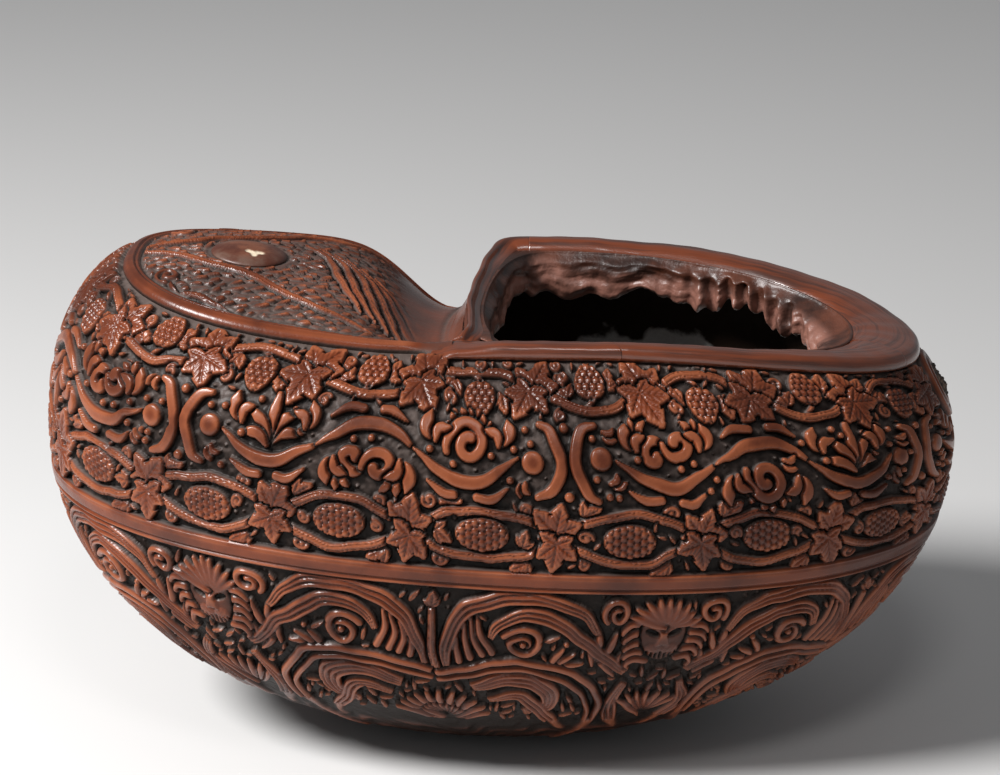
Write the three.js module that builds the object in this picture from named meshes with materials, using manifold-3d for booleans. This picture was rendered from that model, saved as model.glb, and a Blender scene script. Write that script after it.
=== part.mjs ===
// Coconut kashkul, a wandering dervish's bowl made from half of a sea coconut.
// The half nut lies on its rounded back. Its closed lobe is at -X, its stalk tip at +X, and the
// mouth between the cleft and the tip opens upwards. Millimetres, +Z up. The origin is on the worn
// flat of the back, under the middle of the length.

import * as THREE from "three";
import { mergeVertices } from "three/addons/utils/BufferGeometryUtils.js";
import Module from "manifold-3d";

const wasm = await Module();
wasm.setup();

// The nut, with heights measured from its widest level
const LENGTH = 280;
const WIDTH = 164;
const KEEL_DEPTH = 97.4; // down to the round back
const FOOT_WEAR = 1; // depth of the flat worn into the back
const LOBE_CREST = 62; // up to the crest of the lobe
const LOBE_CREST_SETBACK = 35; // from the lobe's end to its crest
const LOBE_FALL = 0.14; // slope of the lobe from its crest down to the cleft
const MOUTH_CREST = 58; // height of the nut over the mouth before it was cut open
const CARVING = 1.6; // depth of the carved ground under the nut's skin

// How full the curves are: 2 is an ellipse, more is boxier
const PLAN_FULLNESS = 2.25;
const KEEL_FULLNESS = 2.05;
const LOBE_END_FULLNESS = 8;
const TIP_END_FULLNESS = 3.2;
const LOBE_SECTION = 2.6;
const MOUTH_SECTION = 2.05;
const BACK_SECTION = 2.1;

// The cleft between the lobe and the mouth, deeper on the far side
const CLEFT_SETBACK = 125; // from the lobe's end to the floor of the cleft
const CLEFT_NEAR_DEPTH = 12;
const CLEFT_FAR_DEPTH = 22;
const CLEFT_SPAN = 92; // width over which the depth changes
const CLEFT_LOBE_RUN = 20; // how far the cleft's slope reaches towards the lobe
const CLEFT_THROAT_RUN = 8; // and towards the mouth
const CLEFT_NEAR_EDGE = 50; // the cleft starts this far to the near side of the axis
const CLEFT_NEAR_RUN = 16;
const SHOULDER_RUN = 50; // length over which the lobe's form passes into the mouth's

// Walls of the hollow
const WALL = 7;
const MOUTH_WALL = 5; // wall of the nut over the mouth, which sets how wide the cut edge is
const LOBE_WALL = 10;
const TIP_WALL = 17;
const THROAT_WALL = 6;

// The rim of the mouth
const RIM_HEIGHT = 46.5;
const RIM_DIP = 18; // how far the rim falls towards the tip
const RIM_DIP_RUN = 120; // measured back from the tip
const BAND_HEIGHT = 5; // rim moulding, from its seat to its top
const BEAD_WIDTH = 5.6;
const BEAD_OVERHANG = 0.8;
const LAND_HEIGHT = 2.4; // flat inner land of the moulding
const LIP_BASE = 3.6;
const LIP_THICKNESS = 2.6;
const FIT = 0.3; // gap between pieces that touch

// Joints of the rim, as directions from the middle of the mouth, in degrees
const SCARF_DIRECTION = 243;
const TIP_JOINT_DIRECTION = 342;
const FAR_CORNER_DIRECTION = 135;
const NEAR_CORNER_DIRECTION = 217;
const SCARF_SLANT = 5;

// Torn husk inside the mouth
const LINING_THICKNESS = 3.2;
const LINING_LEDGE = 1.6; // how far its top rests on the cut edge of the shell
const LINING_TOP = 2;
const LINING_DEPTH = 11;
const LINING_TEAR = 3.5;
const LINING_LOBES = 9;

// Mouldings cut in the solid shell
const BELT_DROP = 17.5; // below the widest level
const BELT_SLOPE = 0.05;
const BELT_HEIGHT = 6.5;
const FRAME_SETBACK = 28; // from the lobe's end to the frame of the lobe panel
const FRAME_REACH = 15; // from the widest place of the frame to the cleft
const FRAME_HALF_WIDTH = 49;
const FRAME_FULLNESS = 2.5;
const FRAME_WIDTH = 6;
const MOULDING_ROOT = 3; // how deep a moulding is rooted in the shell
const CORE_SINK = 1.2; // of the plain core under the carved ground
const CORE_ROOT = 12; // level over the widest loop at which the flank closes under the crest
const BAND_OVERLAP = 0.05; // how far the carved flank runs on past its top edge, as a share of the way up

// Carved ornament round the flanks. Heights are measured from the belt up the skin, as on a flank
// that is FLANK_HEIGHT from the belt to its top edge, and ways round the nut from the lobe's end.
const FLANK_HEIGHT = 67;
const UNDERSIDE_SHARE = 0.93; // of a height under the belt that is level lost
const SPINE_SHARE = 0.45; // of the length, along which the columns of the skin meet on keel and crest
const STEM_WIDTH = 3.4;
const UPPER_WAVES = 10;
const UPPER_MIDDLE = 56;
const UPPER_SWING = 6;
const UPPER_START = 32.5; // to the first hanging bunch
const UPPER_BUNCH = [5.4, 5.6]; // half its width and half its height
const UPPER_BUNCH_OFFSET = 3; // from the middle of the band
const SCROLL_MIDDLE = 35.5;
const SCROLL_SWING = 6.4;
const SCROLL_WIDTH = 4.4;
const CARTOUCHES = 6;
const CARTOUCHE_START = 83.2;
const CARTOUCHE_WAVES = 2;
const BRACKET_HALF_HEIGHT = 10;
const BRACKET_WAIST = 2.6; // from the middle of a pair to each bracket
const BRACKET_FLARE = 5;
const LOWER_BUNCHES = 17;
const LOWER_MIDDLE = 13.5;
const LOWER_SWING = 7;
const LOWER_START = 9.2;
const LOWER_BUNCH = [7.6, 4.6];
const FRIEZE_CELLS = 5;
const FRIEZE_START = 90; // to the first mask
const MASK = [7, 11];
const MASK_DROP = 17;
const PLUME_WIDTH = 5;
const PLUME_FOOT = 28;
const PLUME_TOP = 8;
const KEEL_FRAME_WIDTH = 4.4;
const KEEL_FRAME_CUSP = 37;
const KEEL_FRAME_TOP = 31;
const ARCH_MIDDLE = 0.43; // from a stem to the top of an arch, as a share of the way to the mask

// Boss in the lobe panel and plug in the tip
const BOSS_SETBACK = 63.5;
const BOSS_DIAMETER = 23;
const BOSS_RISE = 1.9;
const BOSS_SINK = 2.6;
const BOSS_SHANK_DIAMETER = 13;
const BOSS_SHANK = 2.6;
const PLUG_LEVEL = 18;
const PLUG_DIAMETER = 12;
const PLUG_RISE = 1.4;
const PLUG_DEPTH = 5;
const PLUG_SHOULDER = 0.8; // how full the plug's round top is, as a share of its radius
const TIP_FRAME_WIDTH = 3;
const TIP_FRAME_RISE = 1;

// Fineness of the facets
const HOLLOW_STATIONS = 16;
const HOLLOW_SIDES = 24;
const CLEFT_STATIONS = 12;
const FRAME_STEPS = 30;
const RIM_STEP = 5; // degrees
const CURVE_STEPS = 16;
const LOOP_SAMPLES = 720;
const COLUMNS_PER_BUNCH = 4;
const KEEL_ROWS = 4;
const CORE_STATIONS = 18;
const CORE_SIDES = 28;
const PAD_SIDES = 5;
const SMALL_STEP = 0.1; // for slopes
const ROUND_SIDES = 24;

// Places that follow from the driving dimensions
const WIDEST_LEVEL = KEEL_DEPTH - CARVING - FOOT_WEAR; // above the flat that it stands on
const LOBE_END = -LENGTH / 2;
const TIP_END = LENGTH / 2;
const LOBE_CREST_X = LOBE_END + LOBE_CREST_SETBACK;
const CLEFT_X = LOBE_END + CLEFT_SETBACK;
const MOUTH_X = (CLEFT_X + TIP_END) / 2;
const RIM_DIP_X = TIP_END - RIM_DIP_RUN;
const SEAT_HEIGHT = RIM_HEIGHT - BAND_HEIGHT;
const FAR_AWAY = LENGTH;
const FLARE = CARVING / 4; // how far the sides of a raised form lean out

const clamp = THREE.MathUtils.clamp;
const lerp = THREE.MathUtils.lerp;
const smoothstep = THREE.MathUtils.smoothstep;
const radians = THREE.MathUtils.degToRad;

// The nut's surface

function dome(share, fullness, root) {
  return Math.pow(Math.max(0, 1 - Math.pow(Math.abs(share), fullness)), 1 / root);
}

// Depth that the cleft takes off the top. A spread widens it, for the wall that lies under it.
function cleftDepth(x, y, spread) {
  const run = x < CLEFT_X ? CLEFT_LOBE_RUN : CLEFT_THROAT_RUN + spread;
  const along = Math.exp(-Math.pow((x - CLEFT_X) / run, 2));
  const across = clamp((y + CLEFT_SPAN / 2) / CLEFT_SPAN, 0, 1);
  const nearEdge = smoothstep(y, -CLEFT_NEAR_EDGE, CLEFT_NEAR_RUN - CLEFT_NEAR_EDGE);
  return along * nearEdge * lerp(CLEFT_NEAR_DEPTH, CLEFT_FAR_DEPTH, across);
}

// One skin of the nut, inset from its uncarved surface: the carved outside or the hollow inside
function nutSkin({ inset, mouthInset, lobeEnd, tipEnd, cleftSpread, cleftShare }) {
  const share = (x) => clamp((2 * x - lobeEnd - tipEnd) / (tipEnd - lobeEnd), -1, 1);
  const towardsMouth = (x) => smoothstep(x, CLEFT_X - SHOULDER_RUN / 2, CLEFT_X + SHOULDER_RUN / 2);
  const halfWidth = (x) => (WIDTH / 2 - inset) * dome(share(x), PLAN_FULLNESS, 2);
  const depth = (x) => (KEEL_DEPTH - inset) * dome(share(x), KEEL_FULLNESS, 2);
  const crest = (x) => {
    const lobeHeight = LOBE_CREST - inset - LOBE_FALL * (x - LOBE_CREST_X);
    const lobe = lobeHeight * dome(share(x), LOBE_END_FULLNESS, 2);
    const mouth = (MOUTH_CREST - mouthInset) * dome(share(x), TIP_END_FULLNESS, 2);
    return lerp(lobe, mouth, towardsMouth(x));
  };
  const topSection = (x) => lerp(LOBE_SECTION, MOUTH_SECTION, towardsMouth(x));
  const acrossShare = (x, y) => Math.min(1, Math.abs(y) / Math.max(halfWidth(x), 1e-9));
  const top = (x, y) => {
    const rise = dome(acrossShare(x, y), topSection(x), topSection(x));
    const cleft = cleftShare * cleftDepth(x, y, cleftSpread) * Math.min(1, 2 * rise);
    return crest(x) * rise - cleft;
  };
  const back = (x, y) => -depth(x) * dome(acrossShare(x, y), BACK_SECTION, BACK_SECTION);
  return { lobeEnd, tipEnd, halfWidth, top, back, topSection };
}

function evenSkin(inset, cleftShare = 1) {
  return nutSkin({
    inset,
    mouthInset: inset,
    lobeEnd: LOBE_END + inset,
    tipEnd: TIP_END - inset,
    cleftSpread: 0,
    cleftShare,
  });
}

const carvedSkin = evenSkin(CARVING);
const uncleftSkin = evenSkin(CARVING, 0);
const coreSkin = evenSkin(CARVING + CORE_SINK);
const hollowSkin = nutSkin({
  inset: WALL,
  mouthInset: MOUTH_WALL,
  lobeEnd: LOBE_END + LOBE_WALL,
  tipEnd: TIP_END - TIP_WALL,
  cleftSpread: THROAT_WALL,
  cleftShare: 1,
});

// Solids from rings of points

function solidFrom(geometry) {
  const bare = geometry.clone();
  bare.deleteAttribute("normal");
  bare.deleteAttribute("uv");
  const merged = mergeVertices(bare, 1e-5);
  const index = merged.getIndex();
  return new wasm.Manifold(
    new wasm.Mesh({
      numProp: 3,
      vertProperties: new Float32Array(merged.getAttribute("position").array),
      triVerts: new Uint32Array(index.array),
    })
  );
}

function geometryFrom(solid) {
  const mesh = solid.getMesh();
  const geometry = new THREE.BufferGeometry();
  geometry.setAttribute("position", new THREE.BufferAttribute(mesh.vertProperties, 3));
  geometry.setIndex(new THREE.BufferAttribute(mesh.triVerts, 1));
  geometry.computeVertexNormals();
  return geometry;
}

function signedVolume(points, triangles) {
  const cross = new THREE.Vector3();
  const corners = (i) => triangles.slice(i, i + 3).map((corner) => points[corner]);
  let sum = 0;
  for (let i = 0; i < triangles.length; i += 3) {
    const [a, b, c] = corners(i);
    sum += a.dot(cross.crossVectors(b, c)) / 6;
  }
  return sum;
}

// Skins a row of rings that have equally many points. The row's ends are capped by fans, joined
// to each other, or pinched already.
function loft(rings, ends = "capped") {
  const sides = rings[0].length;
  const points = rings.flat();
  const triangles = [];
  const rows = ends === "joined" ? rings.length : rings.length - 1;
  for (let row = 0; row < rows; row += 1) {
    const here = row * sides;
    const next = ((row + 1) % rings.length) * sides;
    for (let side = 0; side < sides; side += 1) {
      const other = (side + 1) % sides;
      triangles.push(here + side, here + other, next + other);
      triangles.push(here + side, next + other, next + side);
    }
  }
  if (ends === "capped") {
    const last = (rings.length - 1) * sides;
    const middleOf = (ring) => ring.reduce((sum, p) => sum.add(p), new THREE.Vector3()).divideScalar(sides);
    points.push(middleOf(rings[0]), middleOf(rings.at(-1)));
    for (let side = 0; side < sides; side += 1) {
      const other = (side + 1) % sides;
      triangles.push(points.length - 2, other, side);
      triangles.push(points.length - 1, last + side, last + other);
    }
  }
  if (signedVolume(points, triangles) < 0) {
    triangles.reverse();
  }
  const geometry = new THREE.BufferGeometry().setFromPoints(points);
  geometry.setIndex(triangles);
  return geometry;
}

// Places of the sections along X, closer together towards both ends and over the cleft
function stationsAlong(skin, count) {
  const places = [];
  for (let station = 1; station < count; station += 1) {
    const share = (1 - Math.cos((Math.PI * station) / count)) / 2;
    places.push(lerp(skin.lobeEnd, skin.tipEnd, share));
  }
  const cleftStart = CLEFT_X - 2 * CLEFT_LOBE_RUN;
  const cleftEnd = CLEFT_X + 2 * (CLEFT_THROAT_RUN + THROAT_WALL);
  const outsideCleft = places.filter((x) => x < cleftStart || x > cleftEnd);
  for (let station = 0; station < CLEFT_STATIONS; station += 1) {
    outsideCleft.push(lerp(cleftStart, cleftEnd, (station + 0.5) / CLEFT_STATIONS));
  }
  return outsideCleft.sort((a, b) => a - b);
}

// The whole nut inside one skin
function nutSolid(skin, stations, sides) {
  const rings = [];
  for (const x of stationsAlong(skin, stations)) {
    const ring = [];
    for (let side = 0; side < sides; side += 1) {
      const turn = (2 * Math.PI * side) / sides;
      const onTop = Math.sin(turn) >= 0;
      const section = onTop ? skin.topSection(x) : BACK_SECTION;
      const across = Math.sign(Math.cos(turn)) * Math.pow(Math.abs(Math.cos(turn)), 2 / section);
      const y = skin.halfWidth(x) * across;
      const z = onTop ? skin.top(x, y) : skin.back(x, y);
      ring.push(new THREE.Vector3(x, y, z));
    }
    rings.push(ring);
  }
  const tight = (x) => rings[0].map(() => new THREE.Vector3(x, 0, 0));
  return solidFrom(loft([tight(skin.lobeEnd), ...rings, tight(skin.tipEnd)]));
}

function blockSolid(width, depth, height, centre) {
  const box = new THREE.BoxGeometry(width, depth, height);
  return solidFrom(box.translate(centre.x, centre.y, centre.z));
}

// The seat of the rim: the level at which the mouth was cut open, and its outlines

function seatLevel(x) {
  return SEAT_HEIGHT - RIM_DIP * Math.pow(Math.max(0, x - RIM_DIP_X) / RIM_DIP_RUN, 2);
}

// Everything over the seat, from the cleft to past the tip
function mouthCutter() {
  const past = TIP_END + WALL;
  const profile = new THREE.Shape();
  profile.moveTo(CLEFT_X, SEAT_HEIGHT);
  profile.lineTo(RIM_DIP_X, SEAT_HEIGHT);
  profile.quadraticCurveTo((RIM_DIP_X + past) / 2, SEAT_HEIGHT, past, seatLevel(past));
  profile.lineTo(past, LENGTH);
  profile.lineTo(CLEFT_X, LENGTH);
  const cutter = new THREE.ExtrudeGeometry(profile, {
    depth: 2 * WIDTH,
    bevelEnabled: false,
    curveSegments: CURVE_STEPS,
  });
  return solidFrom(cutter.rotateX(Math.PI / 2).translate(0, WIDTH, 0));
}

// Point of a skin's outline on the seat, in one direction from the mouth's middle
function seatOutline(skin, direction) {
  const angle = radians(direction);
  const place = (r) => new THREE.Vector2(MOUTH_X + r * Math.cos(angle), r * Math.sin(angle));
  let inside = 0;
  let outside = FAR_AWAY;
  while (outside - inside > 1e-4) {
    const middle = (inside + outside) / 2;
    const p = place(middle);
    const covered = p.x > CLEFT_X && p.x < skin.tipEnd && skin.top(p.x, p.y) > seatLevel(p.x);
    if (covered) {
      inside = middle;
    } else {
      outside = middle;
    }
  }
  return place(inside);
}

function outwardAt(skin, direction) {
  const before = seatOutline(skin, direction - RIM_STEP / 10);
  const after = seatOutline(skin, direction + RIM_STEP / 10);
  return new THREE.Vector2(after.y - before.y, before.x - after.x).normalize();
}

function flat(place) {
  return new THREE.Vector3(place.x, place.y, 0);
}

function onSeat(place, outward, out, height) {
  const x = place.x + outward.x * out;
  const y = place.y + outward.y * out;
  return new THREE.Vector3(x, y, seatLevel(x) + height);
}

// The edge of the mouth inside the rim, once round
const mouthEdge = [];
for (let direction = 0; direction < 360; direction += RIM_STEP) {
  const place = seatOutline(hollowSkin, direction);
  mouthEdge.push({ direction, place, outward: outwardAt(hollowSkin, direction) });
}

// Dresses the mouth's edge to a clean upright face
function mouthTrim() {
  const ringAt = (height) => mouthEdge.map(({ place, outward }) => onSeat(place, outward, 0, height));
  const depth = LINING_DEPTH + LINING_TEAR;
  const rings = [ringAt(-depth), ringAt(BAND_HEIGHT)];
  return solidFrom(loft(rings));
}

// Width of the cut edge between the outside and the mouth
function seatWidth(direction) {
  const outside = seatOutline(carvedSkin, direction);
  const distances = mouthEdge.map((edge, i) => {
    const next = mouthEdge[(i + 1) % mouthEdge.length];
    const side = new THREE.Line3(flat(edge.place), flat(next.place));
    return side.closestPointToPoint(flat(outside), true, new THREE.Vector3()).distanceTo(flat(outside));
  });
  return Math.min(...distances);
}

// Sweeps a profile along the rim. The profile gives, for a direction, points (out, height) from the
// outside edge of the seat. A slant turns an end with height, as a scarf joint needs.
function rimSweep(profile, from, to, slantFrom = 0, slantTo = 0) {
  const steps = Math.ceil((to - from) / RIM_STEP);
  const rings = [];
  for (let step = 0; step <= steps; step += 1) {
    const direction = lerp(from, to, step / steps);
    const ring = profile(direction).map(({ x: out, y: height }) => {
      const lean = height / BAND_HEIGHT - 0.5;
      const shift = lean * lerp(slantFrom, slantTo, step / steps);
      const place = seatOutline(carvedSkin, direction + shift);
      return onSeat(place, outwardAt(carvedSkin, direction + shift), out, height);
    });
    rings.push(ring);
  }
  return solidFrom(loft(rings));
}

// Rim moulding: a rounded bead along the outside edge and a flat land behind it
function mouldingProfile(direction) {
  const landEnd = -(seatWidth(direction) - LINING_LEDGE - 2 * FIT);
  const bead = new THREE.Path();
  bead.moveTo(0, FIT);
  bead.lineTo(BEAD_OVERHANG, FIT);
  bead.quadraticCurveTo(BEAD_OVERHANG, BAND_HEIGHT, -BEAD_WIDTH / 2, BAND_HEIGHT);
  bead.quadraticCurveTo(-BEAD_WIDTH, BAND_HEIGHT, -BEAD_WIDTH, LAND_HEIGHT);
  bead.lineTo(Math.min(landEnd, -BEAD_WIDTH - FIT), LAND_HEIGHT);
  bead.lineTo(Math.min(landEnd, -BEAD_WIDTH - FIT), FIT);
  return bead.getPoints(3);
}

// Room that the moulding takes, with the gap to its neighbours
function mouldingRoom(direction) {
  const inner = Math.min(...mouldingProfile(direction).map((p) => p.x)) - FIT;
  return [
    new THREE.Vector2(BAND_HEIGHT, -BAND_HEIGHT),
    new THREE.Vector2(BAND_HEIGHT, 2 * BAND_HEIGHT),
    new THREE.Vector2(inner, 2 * BAND_HEIGHT),
    new THREE.Vector2(inner, -BAND_HEIGHT),
  ];
}

// Throat lip: a low wall with a sloping outer face, rounded on top
function lipProfile() {
  const round = LIP_THICKNESS / 2;
  const lip = new THREE.Path();
  lip.moveTo(0, FIT);
  lip.lineTo(LIP_THICKNESS - LIP_BASE, BAND_HEIGHT - round);
  lip.quadraticCurveTo(LIP_THICKNESS - LIP_BASE, BAND_HEIGHT, round - LIP_BASE, BAND_HEIGHT);
  lip.quadraticCurveTo(-LIP_BASE, BAND_HEIGHT, -LIP_BASE, BAND_HEIGHT - round);
  lip.lineTo(-LIP_BASE, FIT);
  return lip.getPoints(3);
}

function jointGap(direction) {
  const radius = seatOutline(hollowSkin, direction).distanceTo(new THREE.Vector2(MOUTH_X, 0));
  return THREE.MathUtils.radToDeg(FIT / radius);
}

const lobeSide = blockSolid(
  FAR_AWAY,
  FAR_AWAY,
  FAR_AWAY,
  new THREE.Vector3(CLEFT_X + FIT - FAR_AWAY / 2, 0, 0)
);

function nearRimLeft() {
  const to = SCARF_DIRECTION - jointGap(SCARF_DIRECTION) / 2;
  return rimSweep(mouldingProfile, NEAR_CORNER_DIRECTION, to, 0, SCARF_SLANT).subtract(lobeSide);
}

function nearRimRight() {
  const from = SCARF_DIRECTION + jointGap(SCARF_DIRECTION) / 2;
  const to = TIP_JOINT_DIRECTION - jointGap(TIP_JOINT_DIRECTION) / 2;
  return rimSweep(mouldingProfile, from, to, SCARF_SLANT, 0);
}

function farRim() {
  const from = TIP_JOINT_DIRECTION - 360 + jointGap(TIP_JOINT_DIRECTION) / 2;
  return rimSweep(mouldingProfile, from, FAR_CORNER_DIRECTION);
}

function throatLip() {
  const nearRoom = rimSweep(mouldingRoom, NEAR_CORNER_DIRECTION, SCARF_DIRECTION);
  const farEnd = FAR_CORNER_DIRECTION + jointGap(FAR_CORNER_DIRECTION);
  const lip = rimSweep(lipProfile, farEnd, NEAR_CORNER_DIRECTION - RIM_STEP);
  return lip.subtract(nearRoom).subtract(lobeSide);
}

// Torn husk: its top rests on the cut edge, and it hangs down inside the mouth
function mouthLining() {
  const inner = -FIT - LINING_THICKNESS;
  const rings = mouthEdge.map(({ direction, place, outward }) => {
    const wave = Math.sin(radians(LINING_LOBES * direction));
    const bottom = LINING_DEPTH + (LINING_TEAR / 2) * wave;
    const profile = [
      [LINING_LEDGE, FIT],
      [LINING_LEDGE, LINING_TOP],
      [inner, LINING_TOP],
      [inner, -bottom],
      [inner + LINING_THICKNESS / 2, -bottom],
      [-FIT, -LINING_THICKNESS],
      [-FIT, FIT],
    ];
    return profile.map(([out, height]) => onSeat(place, outward, out, height));
  });
  return solidFrom(loft(rings, "joined"));
}

// Mouldings that stand on the carved skin

// Lens shaped strip along a line on the skin, from frames of (point, across, out)
function mouldingOn(frames, width, rise) {
  const half = width / 2;
  const outline = [
    [-half, -MOULDING_ROOT],
    [-half, rise / 2],
    [-half / 2, rise],
    [half / 2, rise],
    [half, rise / 2],
    [half, -MOULDING_ROOT],
  ];
  const rings = frames.map(({ point, across, out }) =>
    outline.map(([a, b]) => point.clone().addScaledVector(across, a).addScaledVector(out, b))
  );
  return solidFrom(loft(rings));
}

function topNormal(x, y) {
  const riseOver = (dx, dy) => carvedSkin.top(x + dx, y + dy) - carvedSkin.top(x - dx, y - dy);
  const alongX = riseOver(SMALL_STEP, 0) / (2 * SMALL_STEP);
  const alongY = riseOver(0, SMALL_STEP) / (2 * SMALL_STEP);
  return new THREE.Vector3(-alongX, -alongY, 1).normalize();
}

// Frame of the lobe panel, half an oval on the crest. On the near side it runs on to the rim.
function lobeFrame() {
  const widestX = CLEFT_X - FRAME_REACH;
  const reach = widestX - (LOBE_END + FRAME_SETBACK);
  const quarter = Math.PI / 2;
  const runOn = FRAME_REACH / reach;
  const place = (turn) => {
    const share = turn < -quarter ? -quarter - turn : -Math.cos(turn);
    const x = widestX + reach * share;
    const side = Math.sign(turn) * dome(Math.min(0, share), FRAME_FULLNESS, FRAME_FULLNESS);
    const y = FRAME_HALF_WIDTH * side;
    return new THREE.Vector3(x, y, carvedSkin.top(x, y));
  };
  const frames = [];
  for (let step = 0; step <= FRAME_STEPS; step += 1) {
    const turn = lerp(-quarter - runOn, quarter, step / FRAME_STEPS);
    const point = place(turn);
    const along = place(turn + radians(1)).sub(place(turn - radians(1))).normalize();
    const out = topNormal(point.x, point.y);
    const across = new THREE.Vector3().crossVectors(along, out).normalize();
    frames.push({ point, across, out });
  }
  return mouldingOn(frames, FRAME_WIDTH, CARVING);
}

// The carved outside: columns from the keel over the flank to the crest, and rows that follow the bands

const loop = [];
for (let sample = 0; sample <= LOOP_SAMPLES; sample += 1) {
  const turn = (2 * Math.PI * sample) / LOOP_SAMPLES;
  const x = lerp(carvedSkin.lobeEnd, carvedSkin.tipEnd, (1 - Math.cos(turn)) / 2);
  const y = -Math.sign(Math.sin(turn)) * carvedSkin.halfWidth(x);
  const before = loop.at(-1);
  const length = before ? before.length + Math.hypot(x - before.x, y - before.y) : 0;
  loop.push({ x, y, length });
}
const LOOP_LENGTH = loop.at(-1).length;

// Place on the widest loop, from the lobe's end along the near side
function loopPlace(along) {
  const length = THREE.MathUtils.euclideanModulo(along, LOOP_LENGTH);
  const next = Math.max(1, loop.findIndex((place) => place.length >= length));
  const [a, b] = [loop[next - 1], loop[next]];
  const share = (length - a.length) / (b.length - a.length);
  return { x: lerp(a.x, b.x, share), y: lerp(a.y, b.y, share) };
}

// Point of a column, whose way runs from -1 on the keel over 0 on the widest loop to 1 on the crest
function columnPoint(place, way, skin = carvedSkin) {
  const inward = way * way;
  const x = place.x * lerp(1, SPINE_SHARE, inward);
  const y = place.y * (1 - inward);
  return new THREE.Vector3(x, y, way < 0 ? skin.back(x, y) : skin.top(x, y));
}

// How far up a column, at most to the given way, its points pass a test
function wayUp(place, highest, passes, skin = carvedSkin) {
  let low = -1;
  let high = highest;
  while (high - low > 1e-6) {
    const middle = (low + high) / 2;
    if (passes(columnPoint(place, middle, skin))) {
      low = middle;
    } else {
      high = middle;
    }
  }
  return low;
}

// Top edge of the flank: the frame on the lobe, and the seat of the rim round the mouth
function topWay(place) {
  const widestX = CLEFT_X - FRAME_REACH;
  const reach = widestX - LOBE_END - FRAME_SETBACK + FRAME_WIDTH / 2;
  const halfWidth = FRAME_HALF_WIDTH + FRAME_WIDTH / 2;
  const outsideFrame = (p) => {
    const along = Math.abs(Math.min(0, p.x - widestX) / reach);
    const across = Math.abs(p.y / halfWidth);
    return Math.pow(along, FRAME_FULLNESS) + Math.pow(across, FRAME_FULLNESS) > 1;
  };
  const atFrame = wayUp(place, 1, outsideFrame);
  const atSeat = wayUp(place, 1, (p) => p.z < seatLevel(p.x), uncleftSkin);
  return lerp(atFrame, atSeat, smoothstep(place.x, widestX, CLEFT_X));
}

function flankPoint(along, height) {
  const place = loopPlace(along);
  const highest = topWay(place);
  const highestLevel = columnPoint(place, highest).z;
  const levelAt = (x) => {
    const beltLevel = -BELT_DROP - BELT_SLOPE * x;
    const under = beltLevel + UNDERSIDE_SHARE * height;
    return height < 0 ? under : lerp(beltLevel, highestLevel, height / FLANK_HEIGHT);
  };
  return columnPoint(place, wayUp(place, highest, (p) => p.z < levelAt(p.x)));
}

function flankFrame(along, height) {
  const sideways = flankPoint(along + 1, height).sub(flankPoint(along - 1, height));
  const upwards = flankPoint(along, height + 1).sub(flankPoint(along, height - 1));
  return {
    point: flankPoint(along, height),
    out: new THREE.Vector3().crossVectors(sideways, upwards).normalize(),
  };
}

function raisedPoint(along, height) {
  const { point, out } = flankFrame(along, height);
  return point.addScaledVector(out, CARVING);
}

// Four rows make a flat topped rib that follows a height round the flank
function ribRows(heightAt, width) {
  return [
    (along) => flankPoint(along, heightAt(along) - width / 2),
    (along) => raisedPoint(along, heightAt(along) - width / 2 + FLARE),
    (along) => raisedPoint(along, heightAt(along) + width / 2 - FLARE),
    (along) => flankPoint(along, heightAt(along) + width / 2),
  ];
}

// Three rows make a stem with a ridged back
function stemRows(heightAt) {
  return [
    (along) => flankPoint(along, heightAt(along) - STEM_WIDTH / 2),
    (along) => raisedPoint(along, heightAt(along)),
    (along) => flankPoint(along, heightAt(along) + STEM_WIDTH / 2),
  ];
}

const wave = (along, start, count) => Math.cos((2 * Math.PI * count * (along - start)) / LOOP_LENGTH);

// Vine under the rim, with a bunch in every bend
const upperStem = (along) => UPPER_MIDDLE + UPPER_SWING * wave(along, UPPER_START, UPPER_WAVES);

// Scrolling stem in the cartouches
const scrollStem = (along) =>
  SCROLL_MIDDLE + SCROLL_SWING * wave(along, CARTOUCHE_START, CARTOUCHES * CARTOUCHE_WAVES);

// Vine over the belt, whose two stems part round every bunch
const lowerSwing = (along) => Math.abs(wave(along, LOWER_START, LOWER_BUNCHES / 2));
const lowerStem = (side) => (along) =>
  LOWER_MIDDLE + side * lerp(STEM_WIDTH / 2, LOWER_SWING, lowerSwing(along));

// Frieze under the belt: how far a place is from the nearest stem, with 1 at a mask
function fromStem(along) {
  const cells = THREE.MathUtils.euclideanModulo(((along - FRIEZE_START) * FRIEZE_CELLS) / LOOP_LENGTH, 1);
  return Math.abs(2 * cells - 1);
}
const plume = (along) => -lerp(PLUME_FOOT, PLUME_TOP, Math.sin(Math.PI * fromStem(along)));
const keelFrame = (along) => {
  const fall = Math.pow(fromStem(along) / ARCH_MIDDLE - 1, 2);
  return -KEEL_FRAME_TOP - (KEEL_FRAME_CUSP - KEEL_FRAME_TOP) * fall;
};

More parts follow.
